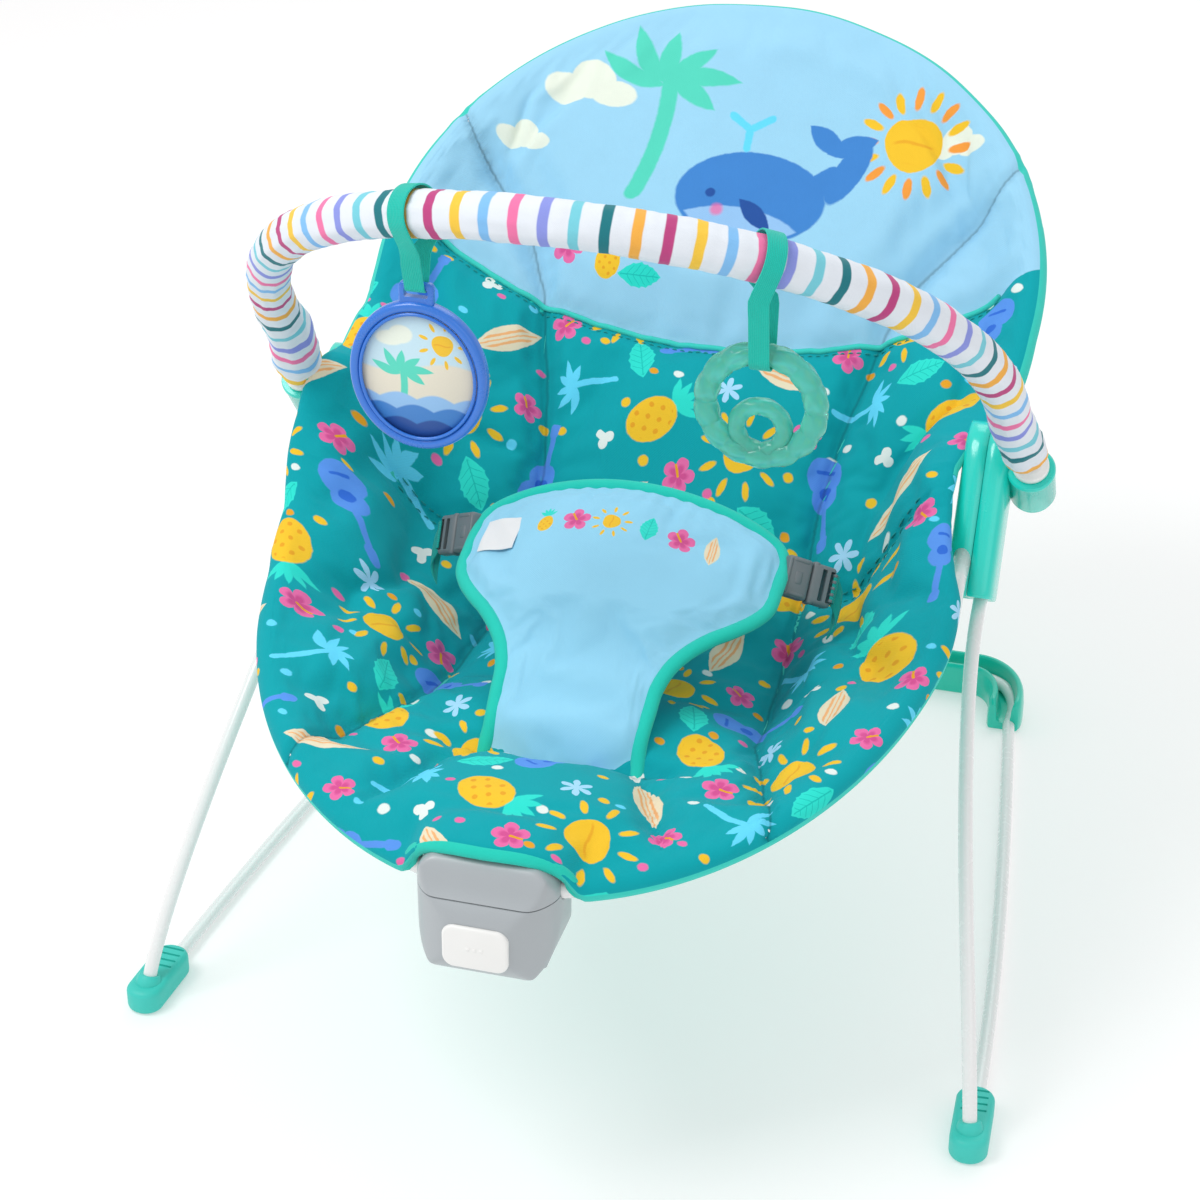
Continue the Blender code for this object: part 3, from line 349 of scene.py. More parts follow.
def ribbed_webbing(name, colour, rib=0.0011):
    """Webbing with ribs along its length."""
    made, tree, shader = new_material(name, colour, 0.75)
    u, v, uv = flat_place(tree)
    ribs = (u * (2 * math.pi / rib)).sin()
    steps = (v * (2 * math.pi / (rib * 0.9))).sin()
    cloud = noise_number(tree, uv, 120.0, 3.0)
    feed(tree, shader.inputs["Base Color"],
         scaled_colour(tree, colour, 0.93 + cloud * 0.10 + ribs * 0.06 + steps * 0.02))
    shader.inputs["Sheen Weight"].default_value = 0.15
    shader.inputs["Specular IOR Level"].default_value = 0.3
    bumped(tree, shader, ribs + steps * 0.4, 0.45, 0.0004)
    return made


# the print's inks
TEAL = linear(0, 162, 172)
SKY = linear(157, 212, 240)
MINT_EDGE = linear(52, 206, 192)
YELLOW = linear(243, 196, 48)
YELLOW_DARK = linear(232, 164, 40)
PINK = linear(233, 110, 170)
PINK_DARK = linear(206, 74, 140)
PALM_BLUE = linear(100, 216, 250)
UKULELE_BLUE = linear(90, 150, 235)
SUN_ORANGE = linear(244, 158, 66)
UKULELE_DARK = linear(50, 110, 215)
CREAM = linear(233, 222, 192)
ORANGE_LINE = linear(240, 178, 120)
LEAF_AQUA = linear(45, 222, 206)
LEAF_DARK = linear(20, 190, 180)
BLOSSOM = linear(168, 220, 250)
WHITE_INK = linear(228, 238, 234)
PALM_MINT = linear(86, 214, 190)
CLOUD_INK = linear(232, 240, 226)
WHALE_BLUE = linear(66, 134, 208)
WHALE_BELLY = linear(150, 196, 240)
WHALE_DARK = linear(40, 84, 160)


def turned_by(x, y, angle):
    """The point turned by an angle, so that a shape drawn in it stands turned the other way."""
    c, s = (angle.cos(), angle.sin()) if isinstance(angle, Num) else (math.cos(angle), math.sin(angle))
    return x * c + y * s, y * c - x * s


def capsule(x, y, x0, y0, x1, y1, r):
    """The signed distance to a round-ended stroke."""
    dx, dy = x1 - x0, y1 - y0
    along = (((x - x0) * dx + (y - y0) * dy) / (dx * dx + dy * dy)).clamped()
    return length_of(x - x0 - along * dx, y - y0 - along * dy) - r


def oval_shape(x, y, cx, cy, rx, ry):
    """About the signed distance to an oval."""
    return (length_of((x - cx) / rx, (y - cy) / ry) - 1.0) * min(rx, ry)


def leaf_shape(x, y, half_length, half_width_here):
    """A pointed oval along X."""
    along = x / half_length
    return abs(y) - (1.0 - along * along) * half_width_here


def petals(x, y, count, inner, outer, turn=0.0):
    """A flower with round petals."""
    swing = abs(((angle_of(x, y) + turn) * (count / 2)).cos())
    return length_of(x, y) - inner - (outer - inner) * swing.root()


def draw_sun(tree, colour, x, y, on, rays=9, disc_radius=0.43):
    r = length_of(x, y)
    a = angle_of(x, y)
    step = 2 * math.pi / rays
    folded = ((a / step + 0.5).op("FRACT") - 0.5) * step
    ray = oval_shape(r * folded.cos(), r * folded.sin(), 0.80, 0.0, 0.19, 0.075)
    ray_ink = YELLOW
    if rays > 9:
        other = shape_mask(0.0 - (a * (rays / 2)).cos(), 0.1)
        ray_ink = mixed(tree, YELLOW, SUN_ORANGE, other)
    colour = mixed(tree, colour, ray_ink, shape_mask(ray) * on)
    disc = r - disc_radius - (a * 3.0).sin() * 0.02
    colour = mixed(tree, colour, YELLOW, shape_mask(disc) * on)
    brushed = shape_mask(abs((y + (x * 9.0).sin() * 0.03) * 8.0).sin() - 0.22, 0.2)
    strokes = brushed * shape_mask(r - 0.34, 0.1)
    return mixed(tree, colour, YELLOW_DARK, strokes * on * 0.75)


def draw_hibiscus(tree, colour, x, y, on):
    body = petals(x, y, 5, 0.28, 0.60)
    colour = mixed(tree, colour, PINK, shape_mask(body) * on)
    veins = shape_mask(petals(x, y, 5, 0.05, 0.36), 0.12)
    colour = mixed(tree, colour, PINK_DARK, veins * on * 0.8)
    stamen = capsule(x, y, 0.0, 0.0, 0.30, 0.22, 0.045)
    return mixed(tree, colour, YELLOW_DARK, shape_mask(stamen) * on)


def draw_palm(tree, colour, x, y, on, ink=PALM_BLUE):
    trunk = capsule(x + y * y * 0.22, y, 0.05, -0.80, 0.05, 0.22, 0.075)
    shape = trunk
    fronds = ((0.35, 0.66, -0.10), (0.95, 0.52, -0.02), (1.75, 0.48, 0.0), (2.45, 0.60, -0.04),
              (3.05, 0.64, -0.12), (-0.25, 0.52, -0.14))
    for start, reach, drop in fronds:
        fx, fy = turned_by(x, y - 0.24, start)
        frond = leaf_shape(fx - reach / 2, fy + fx * fx * 0.45 + drop * 0.2, reach / 2, 0.095)
        frond = frond.max(-fx)
        shape = shape.min(frond)
    return mixed(tree, colour, ink, shape_mask(shape) * on)


def draw_ukulele(tree, colour, x, y, on):
    body = oval_shape(x, y, -0.48, 0.0, 0.36, 0.34).min(oval_shape(x, y, -0.08, 0.0, 0.27, 0.25))
    neck = capsule(x, y, 0.05, 0.0, 0.74, 0.0, 0.060)
    head = capsule(x, y, 0.76, 0.0, 0.86, 0.0, 0.105)
    colour = mixed(tree, colour, UKULELE_BLUE, shape_mask(body.min(neck).min(head)) * on)
    hole = length_of(x + 0.18, y) - 0.115
    bridge = capsule(x, y, -0.56, -0.13, -0.56, 0.13, 0.034)
    return mixed(tree, colour, UKULELE_DARK, shape_mask(hole.min(bridge)) * on)


def draw_surfboard(tree, colour, x, y, on):
    body = leaf_shape(x, y, 0.98, 0.34)
    colour = mixed(tree, colour, CREAM, shape_mask(body) * on)
    inside = shape_mask(leaf_shape(x, y, 0.88, 0.26))
    stripe = shape_mask(abs(abs(y) - 0.125) - 0.034).op("MAXIMUM", shape_mask(abs(y) - 0.020))
    return mixed(tree, colour, ORANGE_LINE, stripe * inside * on)


def draw_pineapple(tree, colour, x, y, on):
    crown = None
    for turn in (0.0, 0.45, -0.45, 0.9, -0.9):
        fx, fy = turned_by(x - 0.26, y, turn)
        blade = leaf_shape(fx - 0.27, fy, 0.27, 0.075)
        crown = blade if crown is None else crown.min(blade)
    colour = mixed(tree, colour, LEAF_AQUA, shape_mask(crown) * on)
    body = oval_shape(x, y, -0.20, 0.0, 0.50, 0.38)
    colour = mixed(tree, colour, YELLOW, shape_mask(body) * on)
    dots = shape_mask(0.62 - ((x * 20.0).sin() * (y * 20.0).sin()), 0.2)
    return mixed(tree, colour, YELLOW_DARK, dots * shape_mask(body + 0.06) * on)


def draw_leaf(tree, colour, x, y, on):
    wave = abs((x * 13.0 - abs(y) * 9.0).sin())
    body = leaf_shape(x, y, 0.72, 0.42 - wave * 0.05)
    colour = mixed(tree, colour, LEAF_AQUA, shape_mask(body) * on)
    rib = abs(y) - 0.016
    veins = (abs((x * 15.0 - abs(y) * 11.0).sin()) - 0.16) * 0.1
    inside = shape_mask(leaf_shape(x, y, 0.64, 0.33))
    return mixed(tree, colour, LEAF_DARK, shape_mask(rib.min(veins)) * inside * on)


def draw_blob(tree, colour, x, y, on):
    shape = oval_shape(x, y, -0.16, 0.12, 0.20, 0.18).min(oval_shape(x, y, 0.14, 0.16, 0.18, 0.17))
    shape = shape.min(capsule(x, y, -0.02, 0.05, 0.02, -0.22, 0.14))
    return mixed(tree, colour, WHITE_INK, shape_mask(shape) * on)


def draw_blossom(tree, colour, x, y, on):
    swing = abs((angle_of(x, y) * 3.0).cos())
    shape = length_of(x, y) - 0.10 - 0.38 * swing
    return mixed(tree, colour, BLOSSOM, shape_mask(shape) * on)


LARGE_MOTIFS = ((draw_sun, 0.96), (draw_ukulele, 1.08), (draw_surfboard, 0.84), (draw_palm, 0.90),
                (draw_pineapple, 1.16))
SMALL_MOTIFS = ((draw_hibiscus, 0.60), (draw_leaf, 0.74), (draw_blossom, 0.66), (draw_hibiscus, 0.54),
                (draw_blob, 0.62))
DOTS = ((0.0, 0.26, WHITE_INK, 0.115), (0.26, 0.50, YELLOW, 0.110), (0.50, 0.70, PINK, 0.100),
        (0.70, 0.84, PALM_BLUE, 0.105), (0.84, 0.94, YELLOW_DARK, 0.105))
PRINT_PITCH = 0.0540


def luck_of(tree, column, row, seed):
    """Three chance numbers from 0 to 1 for one cell of the print."""
    chance = tree.nodes.new("ShaderNodeTexWhiteNoise")
    chance.noise_dimensions = "2D"
    joined = tree.nodes.new("ShaderNodeCombineXYZ")
    feed(tree, joined.inputs[0], column + (0.25 + seed))
    feed(tree, joined.inputs[1], row + (0.25 + 2 * seed))
    tree.links.new(joined.outputs[0], chance.inputs["Vector"])
    parts_of = tree.nodes.new("ShaderNodeSeparateColor")
    tree.links.new(chance.outputs["Color"], parts_of.inputs[0])
    return [Num(tree, parts_of.outputs[i]) for i in range(3)]


def motif_layer(tree, u, v, colour, motifs, seed, spread):
    """One motif in the middle of each cell, turned and shifted by chance."""
    column, row = (u / PRINT_PITCH).floor(), (v / PRINT_PITCH).floor()
    spin, shift_x, shift_y = luck_of(tree, column, row, seed)
    x = (u / PRINT_PITCH - column - 0.5) * 2.0 + (shift_x - 0.5) * spread
    y = (v / PRINT_PITCH - row - 0.5) * 2.0 + (shift_y - 0.5) * spread
    lying_x, lying_y = turned_by(x, y, (spin - 0.5) * 5.0)
    choice = (column + row * 2.0 + 500.0).op("MODULO", float(len(motifs))) + 0.5
    for index, (draw, size) in enumerate(motifs):
        on = shape_mask(abs(choice - (index + 0.5)) - 0.5, 0.001)
        colour = draw(tree, colour, lying_x / size, lying_y / size, on)
    return colour


def dot_layer(tree, u, v, colour, seed):
    """One small dot or petal in each cell, well away from its middle and its corners."""
    column, row = (u / PRINT_PITCH).floor(), (v / PRINT_PITCH).floor()
    luck, shift_x, shift_y = luck_of(tree, column, row, seed)
    dx = (u / PRINT_PITCH - column - 0.5) * 2.0 + (shift_x - 0.5) * 0.34
    dy = (v / PRINT_PITCH - row - 0.5) * 2.0 + (shift_y - 0.5) * 0.34
    for low, high, ink, radius in DOTS:
        chosen = shape_mask(low - luck, 0.001) * shape_mask(luck - high, 0.001)
        dot = length_of(dx, dy * (1.0 + shift_x * 0.5)) - radius
        colour = mixed(tree, colour, ink, shape_mask(dot, 0.03) * chosen)
    return colour


def repeated_print(tree, u, v, ground):
    """A tropical print: large motifs, small ones between their corners, and dots between those."""
    u, v = turned_by(u, v, -0.30)
    half = PRINT_PITCH / 2
    colour = dot_layer(tree, u + half, v, ground, 11.0)
    colour = dot_layer(tree, u, v + half, colour, 17.0)
    colour = dot_layer(tree, u + half * 0.45, v + half * 1.1, colour, 29.0)
    colour = motif_layer(tree, u + half, v + half, colour, SMALL_MOTIFS, 3.0, 0.16)
    return motif_layer(tree, u, v, colour, LARGE_MOTIFS, 7.0, 0.06)


def arc_seam(u):
    """How far up the back the head panel starts, at a distance u from the middle."""
    return u * u * 1.22 + 0.131


def head_art(tree, u, v, ground):
    """A beach picture on the head panel: a palm, clouds, a sun and a small whale."""
    colour = ground
    for cx, cy, size in ((-0.098, 0.276, 0.030), (-0.133, 0.240, 0.019), (0.128, 0.262, 0.019)):
        x, y = (u - cx) / size, (v - cy) / size
        shape = oval_shape(x, y, -0.45, 0.0, 0.50, 0.30).min(oval_shape(x, y, 0.05, 0.24, 0.48, 0.42))
        shape = shape.min(oval_shape(x, y, 0.52, 0.0, 0.48, 0.28))
        colour = mixed(tree, colour, CLOUD_INK, shape_mask(shape, 0.03))
    colour = draw_palm(tree, colour, (u + 0.052) / 0.068, (v - 0.271) / 0.068, 1.0, PALM_MINT)
    x, y = (u - 0.103) / 0.035, (v - 0.262) / 0.035
    colour = draw_sun(tree, colour, x, y, 1.0, rays=16, disc_radius=0.50)
    x, y = (u - 0.012) / 0.046, (v - 0.220) / 0.046
    body = oval_shape(x, y, 0.0, 0.0, 0.98, 0.62)
    tail = oval_shape(x - y * 0.4, y, 1.02, 0.46, 0.20, 0.44).min(capsule(x, y, 0.60, 0.05, 1.02, 0.38, 0.16))
    fluke_a = leaf_shape(*turned_by(x - 1.20, y - 0.82, 0.35), 0.34, 0.15)
    fluke_b = leaf_shape(*turned_by(x - 0.86, y - 0.88, 2.5), 0.32, 0.14)
    colour = mixed(tree, colour, WHALE_BLUE, shape_mask(body.min(tail).min(fluke_a).min(fluke_b)))
    belly = body.max(oval_shape(x, y, -0.18, -0.62, 1.05, 0.52))
    colour = mixed(tree, colour, WHALE_BELLY, shape_mask(belly + 0.04))
    eye = length_of(x + 0.52, y - 0.02) - 0.065
    fin = leaf_shape(*turned_by(x - 0.10, y + 0.22, -0.7), 0.30, 0.12)
    colour = mixed(tree, colour, WHALE_DARK, shape_mask(eye.min(fin)))
    cheek = length_of(x + 0.40, y + 0.20) - 0.08
    colour = mixed(tree, colour, PINK, shape_mask(cheek, 0.05) * 0.8)
    spout = capsule(x, y, -0.16, 0.66, -0.16, 0.92, 0.05)
    for end_x in (-0.42, 0.10):
        spout = spout.min(capsule(x, y, -0.16, 0.92, end_x, 1.10, 0.05))
    colour = mixed(tree, colour, PALM_BLUE, shape_mask(spout))
    colour = draw_hibiscus(tree, colour, (u + 0.092) / 0.017, (v - 0.178) / 0.017, 1.0)
    colour = draw_pineapple(tree, colour, (v - 0.176) / 0.020, (u + 0.066) / 0.020, 1.0)
    colour = draw_leaf(tree, colour, (u + 0.046) / 0.018, (v - 0.166) / 0.018, 1.0)
    return colour


SEAM_S = (-0.25, -0.214, -0.138, -0.05, 0.046, 0.09, 0.154, 0.18, 0.206, 0.246)
SEAM_X = (0.130, 0.118, 0.094, 0.087, 0.084, 0.091, 0.106, 0.118, 0.139, 0.172)


def sewn_line(u, v):
    """The distance to the long seams and to the crease across the seat, in flat coordinates, along which the
    cover's colour is darkened as painted shade.
    """
    side = abs(u)
    near = capsule(side, v, 0.0, -0.190, 0.050, -0.191, 0.0)
    for xa, sa, xb, sb in zip(SEAM_X, SEAM_S, SEAM_X[1:], SEAM_S[1:]):
        near = near.min(capsule(side, v, xa, sa, xb, sb, 0.0))
    return near


def printed_cover():
    """The seat cover: a sky-blue head panel over a teal print, as woven polyester, with painted shade
    darkening it along the seams and the crease.
    """
    made, tree, shader = new_material("printed_cover", TEAL, 0.85)
    u, v, uv = flat_place(tree)
    wobble_u = u + (noise_number(tree, uv, 260.0, 2.0) - 0.5) * 0.0012
    wobble_v = v + (noise_number(tree, uv, 230.0, 2.0) - 0.5) * 0.0012
    lower = repeated_print(tree, wobble_u + 1.0, wobble_v + 1.0, TEAL)
    upper = head_art(tree, wobble_u, wobble_v, SKY)
    in_middle = shape_mask(arc_seam(u) - v, 0.0006)
    colour = mixed(tree, lower, upper, in_middle)
    threads = weave(u, v, 0.0010)
    cloud = noise_number(tree, uv, 40.0, 4.0)
    fine = noise_number(tree, uv, 1100.0, 2.0)
    # painted shade: a narrow dark line on the seams and the crease, and a softer darker band beside them,
    # stand for the shade in the sewn valleys
    near = sewn_line(u + (cloud - 0.5) * 0.003, v)
    seam_shade = shape_mask(near - 0.0006, 0.0010)
    shade = 0.95 + cloud * 0.09 + threads * 0.025 - seam_shade * 0.30 - shape_mask(near - 0.0030, 0.0060) * 0.12
    feed(tree, shader.inputs["Base Color"], scaled_colour(tree, colour, shade))
    feed(tree, shader.inputs["Roughness"], (fine * 0.15 + 0.72).clamped())
    shader.inputs["Sheen Weight"].default_value = 0.04
    shader.inputs["Sheen Roughness"].default_value = 0.5
    shader.inputs["Specular IOR Level"].default_value = 0.16
    bumped(tree, shader, threads * 0.5 + fine * 0.7, 0.35, 0.0003)
    return made


STRIPES = (linear(243, 176, 75), linear(30, 120, 130), linear(120, 205, 220), linear(140, 150, 225),
           linear(240, 120, 170), linear(130, 190, 240), linear(245, 200, 70), linear(190, 70, 130))


def striped_sleeve_cloth():
    """White cloth with thin stripes of changing colour across it; flat v runs along the bar."""
    made, tree, shader = new_material("striped_sleeve_cloth", linear(228, 234, 242), 0.85)
    u, v, uv = flat_place(tree)
    waver = v + (noise_number(tree, uv, 90.0, 2.0) - 0.5) * 0.0006
    pitch = 0.0142
    count = (waver / pitch).floor()
    inside = waver / pitch - count
    line = shape_mask(abs(inside - 0.5) - 0.175, 0.04)
    turn = (count + 800.0).op("MODULO", float(len(STRIPES))) + 0.5
    ink = STRIPES[0]
    for index, colour in enumerate(STRIPES[1:], 1):
        ink = mixed(tree, ink, colour, shape_mask(index - turn, 0.001))
    colour = mixed(tree, linear(228, 234, 242), ink, line)
    threads = weave(u, v, 0.0010)
    fine = noise_number(tree, uv, 900.0, 2.0)
    cloud = noise_number(tree, uv, 60.0, 3.0)
    feed(tree, shader.inputs["Base Color"], scaled_colour(tree, colour, 0.95 + cloud * 0.07 + threads * 0.02))
    shader.inputs["Sheen Weight"].default_value = 0.12
    shader.inputs["Specular IOR Level"].default_value = 0.25
    bumped(tree, shader, threads * 0.5 + fine * 0.6, 0.35, 0.0003)
    return made


def gel():
    made, tree, shader = new_material("clear_mint_gel", linear(120, 226, 206), 0.10)
    place = object_place(tree)
    cloud = noise_number(tree, place, 60.0, 3.0)
    feed(tree, shader.inputs["Base Color"], scaled_colour(tree, linear(110, 224, 204), 0.94 + cloud * 0.1))
    shader.inputs["Transmission Weight"].default_value = 0.55
    shader.inputs["IOR"].default_value = 1.41
    shader.inputs["Subsurface Weight"].default_value = 0.25
    shader.inputs["Subsurface Radius"].default_value = (0.3, 1.0, 0.8)
    shader.inputs["Subsurface Scale"].default_value = 0.004
    feed(tree, shader.inputs["Roughness"], (cloud * 0.12 + 0.05).clamped())
    bumped(tree, shader, cloud, 0.12, 0.001)
    return made


def picture_card():
    """A cream card with a simple beach picture: a sun, two clouds and blue waves."""
    made, tree, shader = new_material("picture_card_print", linear(228, 222, 204), 0.45)
    u, v, uv = flat_place(tree)
    x, y = u / 0.031, v / 0.031
    colour = linear(228, 222, 204)
    colour = mixed(tree, colour, linear(196, 226, 238), shape_mask(0.15 - y + (x * 3.0).sin() * 0.10, 0.04))
    colour = draw_sun(tree, colour, (x - 0.42) / 0.42, (y - 0.58) / 0.42, 1.0)
    cloud = oval_shape(x, y, -0.46, 0.62, 0.24, 0.13).min(oval_shape(x, y, -0.28, 0.70, 0.20, 0.16))
    colour = mixed(tree, colour, CLOUD_INK, shape_mask(cloud, 0.03))
    colour = draw_palm(tree, colour, (x + 0.28) / 0.80, (y + 0.16) / 0.80, 1.0, PALM_MINT)
    for level, ink in ((-0.42, WHALE_BELLY), (-0.62, WHALE_BLUE), (-0.86, WHALE_DARK)):
        wave = y - level - abs((x * 5.0 + level * 7.0).sin()) * 0.10
        colour = mixed(tree, colour, ink, shape_mask(wave, 0.03))
    fine = noise_number(tree, uv, 900.0, 2.0)
    feed(tree, shader.inputs["Base Color"], scaled_colour(tree, colour, 0.97 + fine * 0.05))
    feed(tree, shader.inputs["Roughness"], (fine * 0.1 + 0.35).clamped())
    bumped(tree, shader, fine, 0.06, 0.0002)
    return made


def mirror_plate():
    made, tree, shader = new_material("mirror_plate", (0.90, 0.91, 0.92), 0.03, 1.0)
    cloud = noise_number(tree, object_place(tree), 35.0, 3.0)
    feed(tree, shader.inputs["Roughness"], (cloud * 0.06 + 0.01).clamped())
    bumped(tree, shader, cloud, 0.02, 0.0010)
    return made


def harness_print():
    """Light blue cloth with one short row of small printed shapes."""
    made, tree, shader = new_material("harness_print", linear(150, 214, 242), 0.85)
    u, v, uv = flat_place(tree)
    colour = linear(150, 214, 242)
    wobble = (noise_number(tree, uv, 260.0, 2.0) - 0.5) * 0.0008
    row = ((-0.040, draw_pineapple, 0.0110), (-0.023, draw_hibiscus, 0.0130), (-0.004, draw_sun, 0.0110),
           (0.016, draw_leaf, 0.0120), (0.034, draw_hibiscus, 0.0130), (0.051, draw_surfboard, 0.0120))
    for centre, draw, size in row:
        x, y = (u + wobble - centre) / size, (v + wobble - 0.1470) / size
        colour = draw(tree, colour, y, 0.0 - x, 1.0)
    threads = weave(u, v, 0.0009)
    cloud = noise_number(tree, uv, 50.0, 4.0)
    fine = noise_number(tree, uv, 1000.0, 2.0)
    feed(tree, shader.inputs["Base Color"], scaled_colour(tree, colour, 0.95 + cloud * 0.08 + threads * 0.03))
    feed(tree, shader.inputs["Roughness"], (fine * 0.15 + 0.75).clamped())
    shader.inputs["Sheen Weight"].default_value = 0.12
    shader.inputs["Specular IOR Level"].default_value = 0.25
    bumped(tree, shader, threads * 0.5 + fine * 0.6, 0.35, 0.0003)
    return made


WIRE = coated_wire()
MINT = moulded("mint_shell", linear(22, 212, 196), 0.24, coat=0.5)
SUPPORT_MINT = moulded("mint_support", linear(16, 200, 176), 0.30, coat=0.35)
RUBBER = moulded("mint_rubber_boot", linear(58, 200, 188), 0.50, grain=500.0, strength=0.15)
GREY = moulded("grey_casing", linear(168, 174, 178), 0.36, coat=0.1, grain=1400.0, strength=0.12)
BUCKLE = moulded("buckle_nylon", linear(112, 120, 124), 0.42, grain=1100.0, strength=0.15)
WHITE = moulded("white_button", linear(238, 238, 236), 0.32, coat=0.2)
BLUE = moulded("blue_frame", linear(44, 116, 212), 0.28, coat=0.4)
DARK = moulded("dark_jacket", linear(48, 50, 54), 0.40)
BOARD = moulded("green_board", linear(24, 92, 58), 0.45)
STEEL = steel()
GEL = gel()
PRINTED = printed_cover()
EDGE_CLOTH = cloth("mint_edge_cloth", MINT_EDGE, 0.0010)
BINDING = cloth("mint_binding", linear(34, 205, 186), 0.0009, strength=0.5)
UNDER_CLOTH = cloth("under_cloth", linear(60, 200, 186), 0.0012)
SLEEVE_CLOTH = striped_sleeve_cloth()
WEBBING = ribbed_webbing("teal_webbing", linear(14, 165, 155))
STRAP_CLOTH = ribbed_webbing("mint_strap_cloth", linear(20, 196, 178), 0.0009)
PICTURE = picture_card()
MIRROR = mirror_plate()
HARNESS_CLOTH = harness_print()
PIPING = cloth("mint_piping", linear(60, 212, 198), 0.0008, strength=0.5)
THREAD = cloth("teal_thread", linear(20, 150, 150), 0.0005)
LABEL_CLOTH = cloth("white_label_cloth", linear(232, 234, 236), 0.0007, variation=0.05)


# ---------------------------------------------------------------- modelling helpers
def link(name, mesh, *finishes):
    piece = bpy.data.objects.new(name, mesh)
    bpy.context.scene.collection.objects.link(piece)
    for finish in finishes:
        piece.data.materials.append(finish)
    return piece


def mesh_of(name, verts, faces, *finishes, smooth=True):
    mesh = bpy.data.meshes.new(name)
    mesh.from_pydata([tuple(v) for v in verts], [], faces)
    mesh.validate()
    mesh.update()
    if smooth:
        mesh.shade_smooth()
    return link(name, mesh, *finishes)


def apply_all(piece):
    """Replaces a piece's modifiers by the mesh they make."""
    bpy.context.view_layer.update()
    graph = bpy.context.evaluated_depsgraph_get()
    mesh = bpy.data.meshes.new_from_object(piece.evaluated_get(graph))
    old = piece.data
    piece.modifiers.clear()
    piece.data = mesh
    if old.users == 0 and isinstance(old, bpy.types.Mesh):
        bpy.data.meshes.remove(old)
    return piece


def subdivided(piece, levels=1):
    change = piece.modifiers.new("subdivision", "SUBSURF")
    change.levels = levels
    change.render_levels = levels
    return apply_all(piece)


def face_up(piece):
    bm = bmesh.new()
    bm.from_mesh(piece.data)
    bmesh.ops.recalc_face_normals(bm, faces=bm.faces)
    bm.to_mesh(piece.data)
    bm.free()
    return piece


def set_flat(piece, places):
    """Stores each vertex's flat coordinates, in metres, as the UV map that the cloths read."""
    layer = piece.data.uv_layers.new(name="flat")
    corner = np.zeros(len(piece.data.loops), dtype=np.int32)
    piece.data.loops.foreach_get("vertex_index", corner)
    layer.data.foreach_set("uv", np.asarray(places, dtype=np.float32)[corner].ravel())


def curve_points(a, b, c, d, count):
    """Points of a Catmull-Rom curve from b up to c, between the neighbours a and d."""
    for i in range(count):
        t = i / count
        yield 0.5 * (2 * b + (c - a) * t + (2 * a - 5 * b + 4 * c - d) * t * t
                     + (3 * b - a - 3 * c + d) * t ** 3)


def smooth_path(points, per_span=6):
    """A smooth open curve through points."""
    points = [Vector(p) for p in points]
    ends = [points[0] * 2 - points[1]] + points + [points[-1] * 2 - points[-2]]
    path = []
    for a, b, c, d in zip(ends, ends[1:], ends[2:], ends[3:]):
        path.extend(curve_points(a, b, c, d, per_span))
    return path + [points[-1]]


def closed_curve(points, per_span=5):
    """A smooth closed outline through flat points."""
    count = len(points)
    made = []
    for k in range(count):
        a, b, c, d = (Vector((*points[(k + n) % count], 0)) for n in (-1, 0, 1, 2))
        made.extend((p.x, p.y) for p in curve_points(a, b, c, d, per_span))
    return made


def frames_along(path, first_side):
    """A tangent, side and normal at each point of a path, turning as little as possible."""
    made = []
    side = Vector(first_side)
    for i in range(len(path)):
        tangent = (path[min(i + 1, len(path) - 1)] - path[max(i - 1, 0)]).normalized()
        side = (side - tangent * side.dot(tangent)).normalized()
        made.append((tangent, side.copy(), tangent.cross(side)))
    return made


def swept(name, path, section, finish, first_side=(1, 0, 0), scale=None, closed=False, caps=True):
    """A closed section of (side, normal) points carried along a path; flat coordinates run along it."""
    frames = frames_along(path, first_side)
    verts, flats = [], []
    distance = 0.0
    around = len(section)
    perimeter = [0.0]
    for a, b in zip(section, section[1:]):
        perimeter.append(perimeter[-1] + math.hypot(b[0] - a[0], b[1] - a[1]))
    for i, (p, (_, side, normal)) in enumerate(zip(path, frames)):
        if i:
            distance += (p - path[i - 1]).length
        grow = scale(i / (len(path) - 1)) if scale else 1.0
        for j, (a, b) in enumerate(section):
            verts.append(p + side * a * grow + normal * b * grow)
            flats.append((perimeter[j], distance))
    faces = []
    rows = len(path)
    for i in range(rows if closed else rows - 1):
        here, after = i * around, ((i + 1) % rows) * around
        for j in range(around):
            k = (j + 1) % around
            faces.append((here + j, here + k, after + k, after + j))
    if caps and not closed:
        faces.append(tuple(reversed(range(around))))
        faces.append(tuple((rows - 1) * around + j for j in range(around)))
    piece = mesh_of(name, verts, faces, finish)
    set_flat(piece, flats)
    return face_up(piece)


def ring_section(radius, count=20, squash=1.0):
    return [(radius * math.cos(2 * math.pi * k / count), radius * squash * math.sin(2 * math.pi * k / count))
            for k in range(count)]


def finished(piece, body, slot, *replaced):
    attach(piece, body)
    if replaced:
        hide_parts(*replaced)
    return piece


def bezier(p0, p1, p2, p3, count):
    made = []
    for i in range(count + 1):
        t = i / count
        w = 1 - t
        made.append(w ** 3 * p0 + 3 * w * w * t * p1 + 3 * w * t * t * p2 + t ** 3 * p3)
    return made


def mirrored(points, sign):
    return [Vector((sign * p.x, p.y, p.z)) for p in points]


# ---------------------------------------------------------------- seat geometry
def chord(s):
    slope = BACK_SLOPE if s > 0 else SEAT_SLOPE
    return at(0, CHORD_Y + s * math.cos(slope), CHORD_Z + s * math.sin(slope))


def lift(s):
    share = min(1.0, max(0.0, (s + 0.06) / 0.12))
    slope = SEAT_SLOPE + (BACK_SLOPE - SEAT_SLOPE) * share
    return Vector((0, -math.sin(slope), math.cos(slope)))


